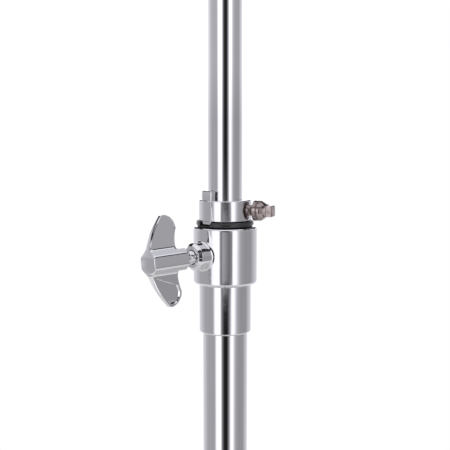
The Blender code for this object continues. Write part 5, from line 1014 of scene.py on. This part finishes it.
# %% The return spring
COIL, WIRE, TURNS = 8.5 * MM, 1.0 * MM, 12
COIL_LOW, COIL_HIGH = 207.6 * MM, 319.6 * MM
t = np.linspace(0, TURNS * 2 * math.pi, TURNS * 48 + 1)[:, None]
w = angles(20)[None, :, None]
climb = (COIL_HIGH - COIL_LOW) / t[-1, 0]
centre = polar(COIL, t, COIL_LOW + climb * t)
normal = polar(1.0, t, 0.0)
binormal = np.stack([np.sin(t) * climb, -np.cos(t) * climb, COIL + 0 * t], -1) / math.hypot(COIL, climb)
wire = centre + WIRE * (np.cos(w) * normal + np.sin(w) * binormal)
spring = piece("return_spring", "pull_rod", spring_steel, [(wire, False)])
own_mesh(spring)
print("Spring wire:", wire.shape[0], "sections")

# %% Pins of the pedal and the radius rods
ACROSS = Matrix.Rotation(math.radians(90), 4, "Y")
for node, body, half in (("yoke_pin", "pull_rod", 8.0), ("toe_pin", "footboard", 7.5),
                         ("heel_hinge_pin", "stand", 33.0)):
    low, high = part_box(node)
    place = Matrix.Translation((0, (low.y + high.y) / 2, (low.z + high.z) / 2)) @ ACROSS
    lathe(node, body, dark_screw_steel, rod(2.5 * MM, -half * MM, half * MM, 0.5 * MM), 48, at=place)
for node in ("radius_rod_left", "radius_rod_right"):
    low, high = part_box(node)
    place = along((1, 0, 0), (0, 1, 0), ((low.x + high.x) / 2, 0, (low.z + high.z) / 2))
    lathe(node, "stand", tube_chrome, rod(3 * MM, low.y, high.y, 0.6 * MM), 64, at=place)
print("Pins and radius rods")

# %% [markdown]
# ## Rubber feet
#
# A boot of black rubber is pushed over the end of each leg. It has moulded rings, a soft lip where
# the leg goes in, and a ball end that has worn flat on the floor: all points are kept inside the box
# of the CAD foot, which stands on the floor. A mould leaves a thin seam along two sides, which is a
# narrow wave in the radius at two angles.

# %% Boots of the three legs
UP = Vector((0, 0, 1))
FOOT_CENTRE = 13 * MM
HUB_REACH = 27 * MM
LEG_ANGLE = math.radians(46)
LEG_LENGTH = (LEG_HUB_Z - FOOT_CENTRE) / math.cos(LEG_ANGLE)
RIBS, RIB_DEPTH = 5, 0.55
BOOT_SCALE = 0.988
ribbed = upright(14.0, 27.5, 0.0, 60)
ribbed[:, 0] -= RIB_DEPTH * (0.5 - 0.5 * np.cos(2 * math.pi * RIBS * np.linspace(0, 1, 60))) ** 2
ball = np.radians(np.linspace(3, 90, 26))
boot = MM * np.concatenate([
    [(0, 31.2), (7.0, 31.2), (8.4, 31.3), (9.2, 31.7), (10.0, 32.0), (10.9, 31.8), (11.6, 31.2), (11.9, 30.4),
     (12.0, 28.4), (12.3, 27.9), (13.2, 27.7)],
    ribbed, np.stack([13.9 * np.cos(ball), -13.95 * np.sin(ball)], -1)])


def mould_seam(v, z):
    """Wave of a seam 0.12 mm high: the radius is drawn in everywhere but at two angles."""
    return -0.12 * MM * (1 - np.exp(-(np.sin(v) / 0.03) ** 2)) * (z > -9 * MM)


boot_grid = turned(boot, 96, mould_seam)
for index, azimuth in enumerate(np.radians((-30, 90, 210)), 1):
    out = Vector((math.cos(azimuth), math.sin(azimuth), 0))
    up_leg = UP * math.cos(LEG_ANGLE) - out * math.sin(LEG_ANGLE)
    end = out * (HUB_REACH + LEG_LENGTH * math.sin(LEG_ANGLE)) + UP * FOOT_CENTRE
    low, high = np.array(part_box(f"leg_foot_{index}"))
    middle = (low + high) / 2
    grid = placed(boot_grid, along(out.cross(UP), up_leg, end))
    grid = np.clip((grid - middle) * BOOT_SCALE + middle, low, high)
    piece(f"leg_foot_{index}", f"leg_{index}", black_rubber, [(grid, False)], 50.0)
print("Boot:", boot.shape[0], "rows, end", [round(v, 4) for v in end])

# %% [markdown]
# ## Castings and strips
#
# The base, the hubs, the pedal and the legs already have their shape in the CAD model, down to the
# holes. What they lack is the broken edge that every real part has, because polishing before the
# plating takes each sharp edge off. Their flat triangles are joined to whole faces, and a bevel of
# several steps rounds the edges. Small bevels are modelled and not painted on, as it is the edge's
# own highlight that tells the eye how thick a part is.


# %% Rounded copies of CAD nodes
def softened(node, body, material, width, segments=3):
    """Copy of a CAD node whose sharp edges are rounded, and whose curved faces are shaded smooth."""
    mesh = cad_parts[node].data.copy()
    mesh.transform(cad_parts[node].matrix_world)
    shape = bmesh.new()
    shape.from_mesh(mesh)
    bmesh.ops.remove_doubles(shape, verts=shape.verts, dist=2e-5)
    bmesh.ops.dissolve_limit(shape, angle_limit=math.radians(0.6), verts=shape.verts, edges=shape.edges)
    shape.to_mesh(mesh)
    shape.free()
    made = dress(node, body, material, mesh, 180.0)
    bevel = made.modifiers.new("edges", "BEVEL")
    bevel.width = width
    bevel.segments = segments
    bevel.limit_method = "ANGLE"
    bevel.angle_limit = math.radians(30.0)
    bevel.use_clamp_overlap = True
    flat = made.modifiers.new("flat_faces", "WEIGHTED_NORMAL")
    flat.weight = 100


for node, body, material, edge in (
        ("base_casting", "stand", cast_chrome, 0.9), ("brace_hub", "stand", cast_chrome, 0.6),
        ("leg_hub", "leg_hub", cast_chrome, 0.6), ("footboard", "footboard", satin_casting, 0.8),
        ("heel_plate", "stand", satin_casting, 0.8), ("rod_yoke", "pull_rod", cast_chrome, 0.4),
        ("drive_link", "link", cast_chrome, 0.5)):
    softened(node, body, material, edge * MM)
for index in (1, 2, 3):
    softened(f"brace_{index}", f"brace_{index}", strip_chrome, 0.35 * MM, segments=2)
    softened(f"leg_{index}", f"leg_{index}", strip_chrome, 0.35 * MM, segments=2)
print("Thirteen castings and strips with rounded edges")

# %% [markdown]
# ## The end of the script
#
# By now every node of the CAD model has a finer surface in its place. The last lines look for a
# node that was left out.

# %% Look for nodes left out
left_out = [name for name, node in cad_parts.items() if not node.hide_render]
print("Nodes without a finer surface:", left_out or "none")
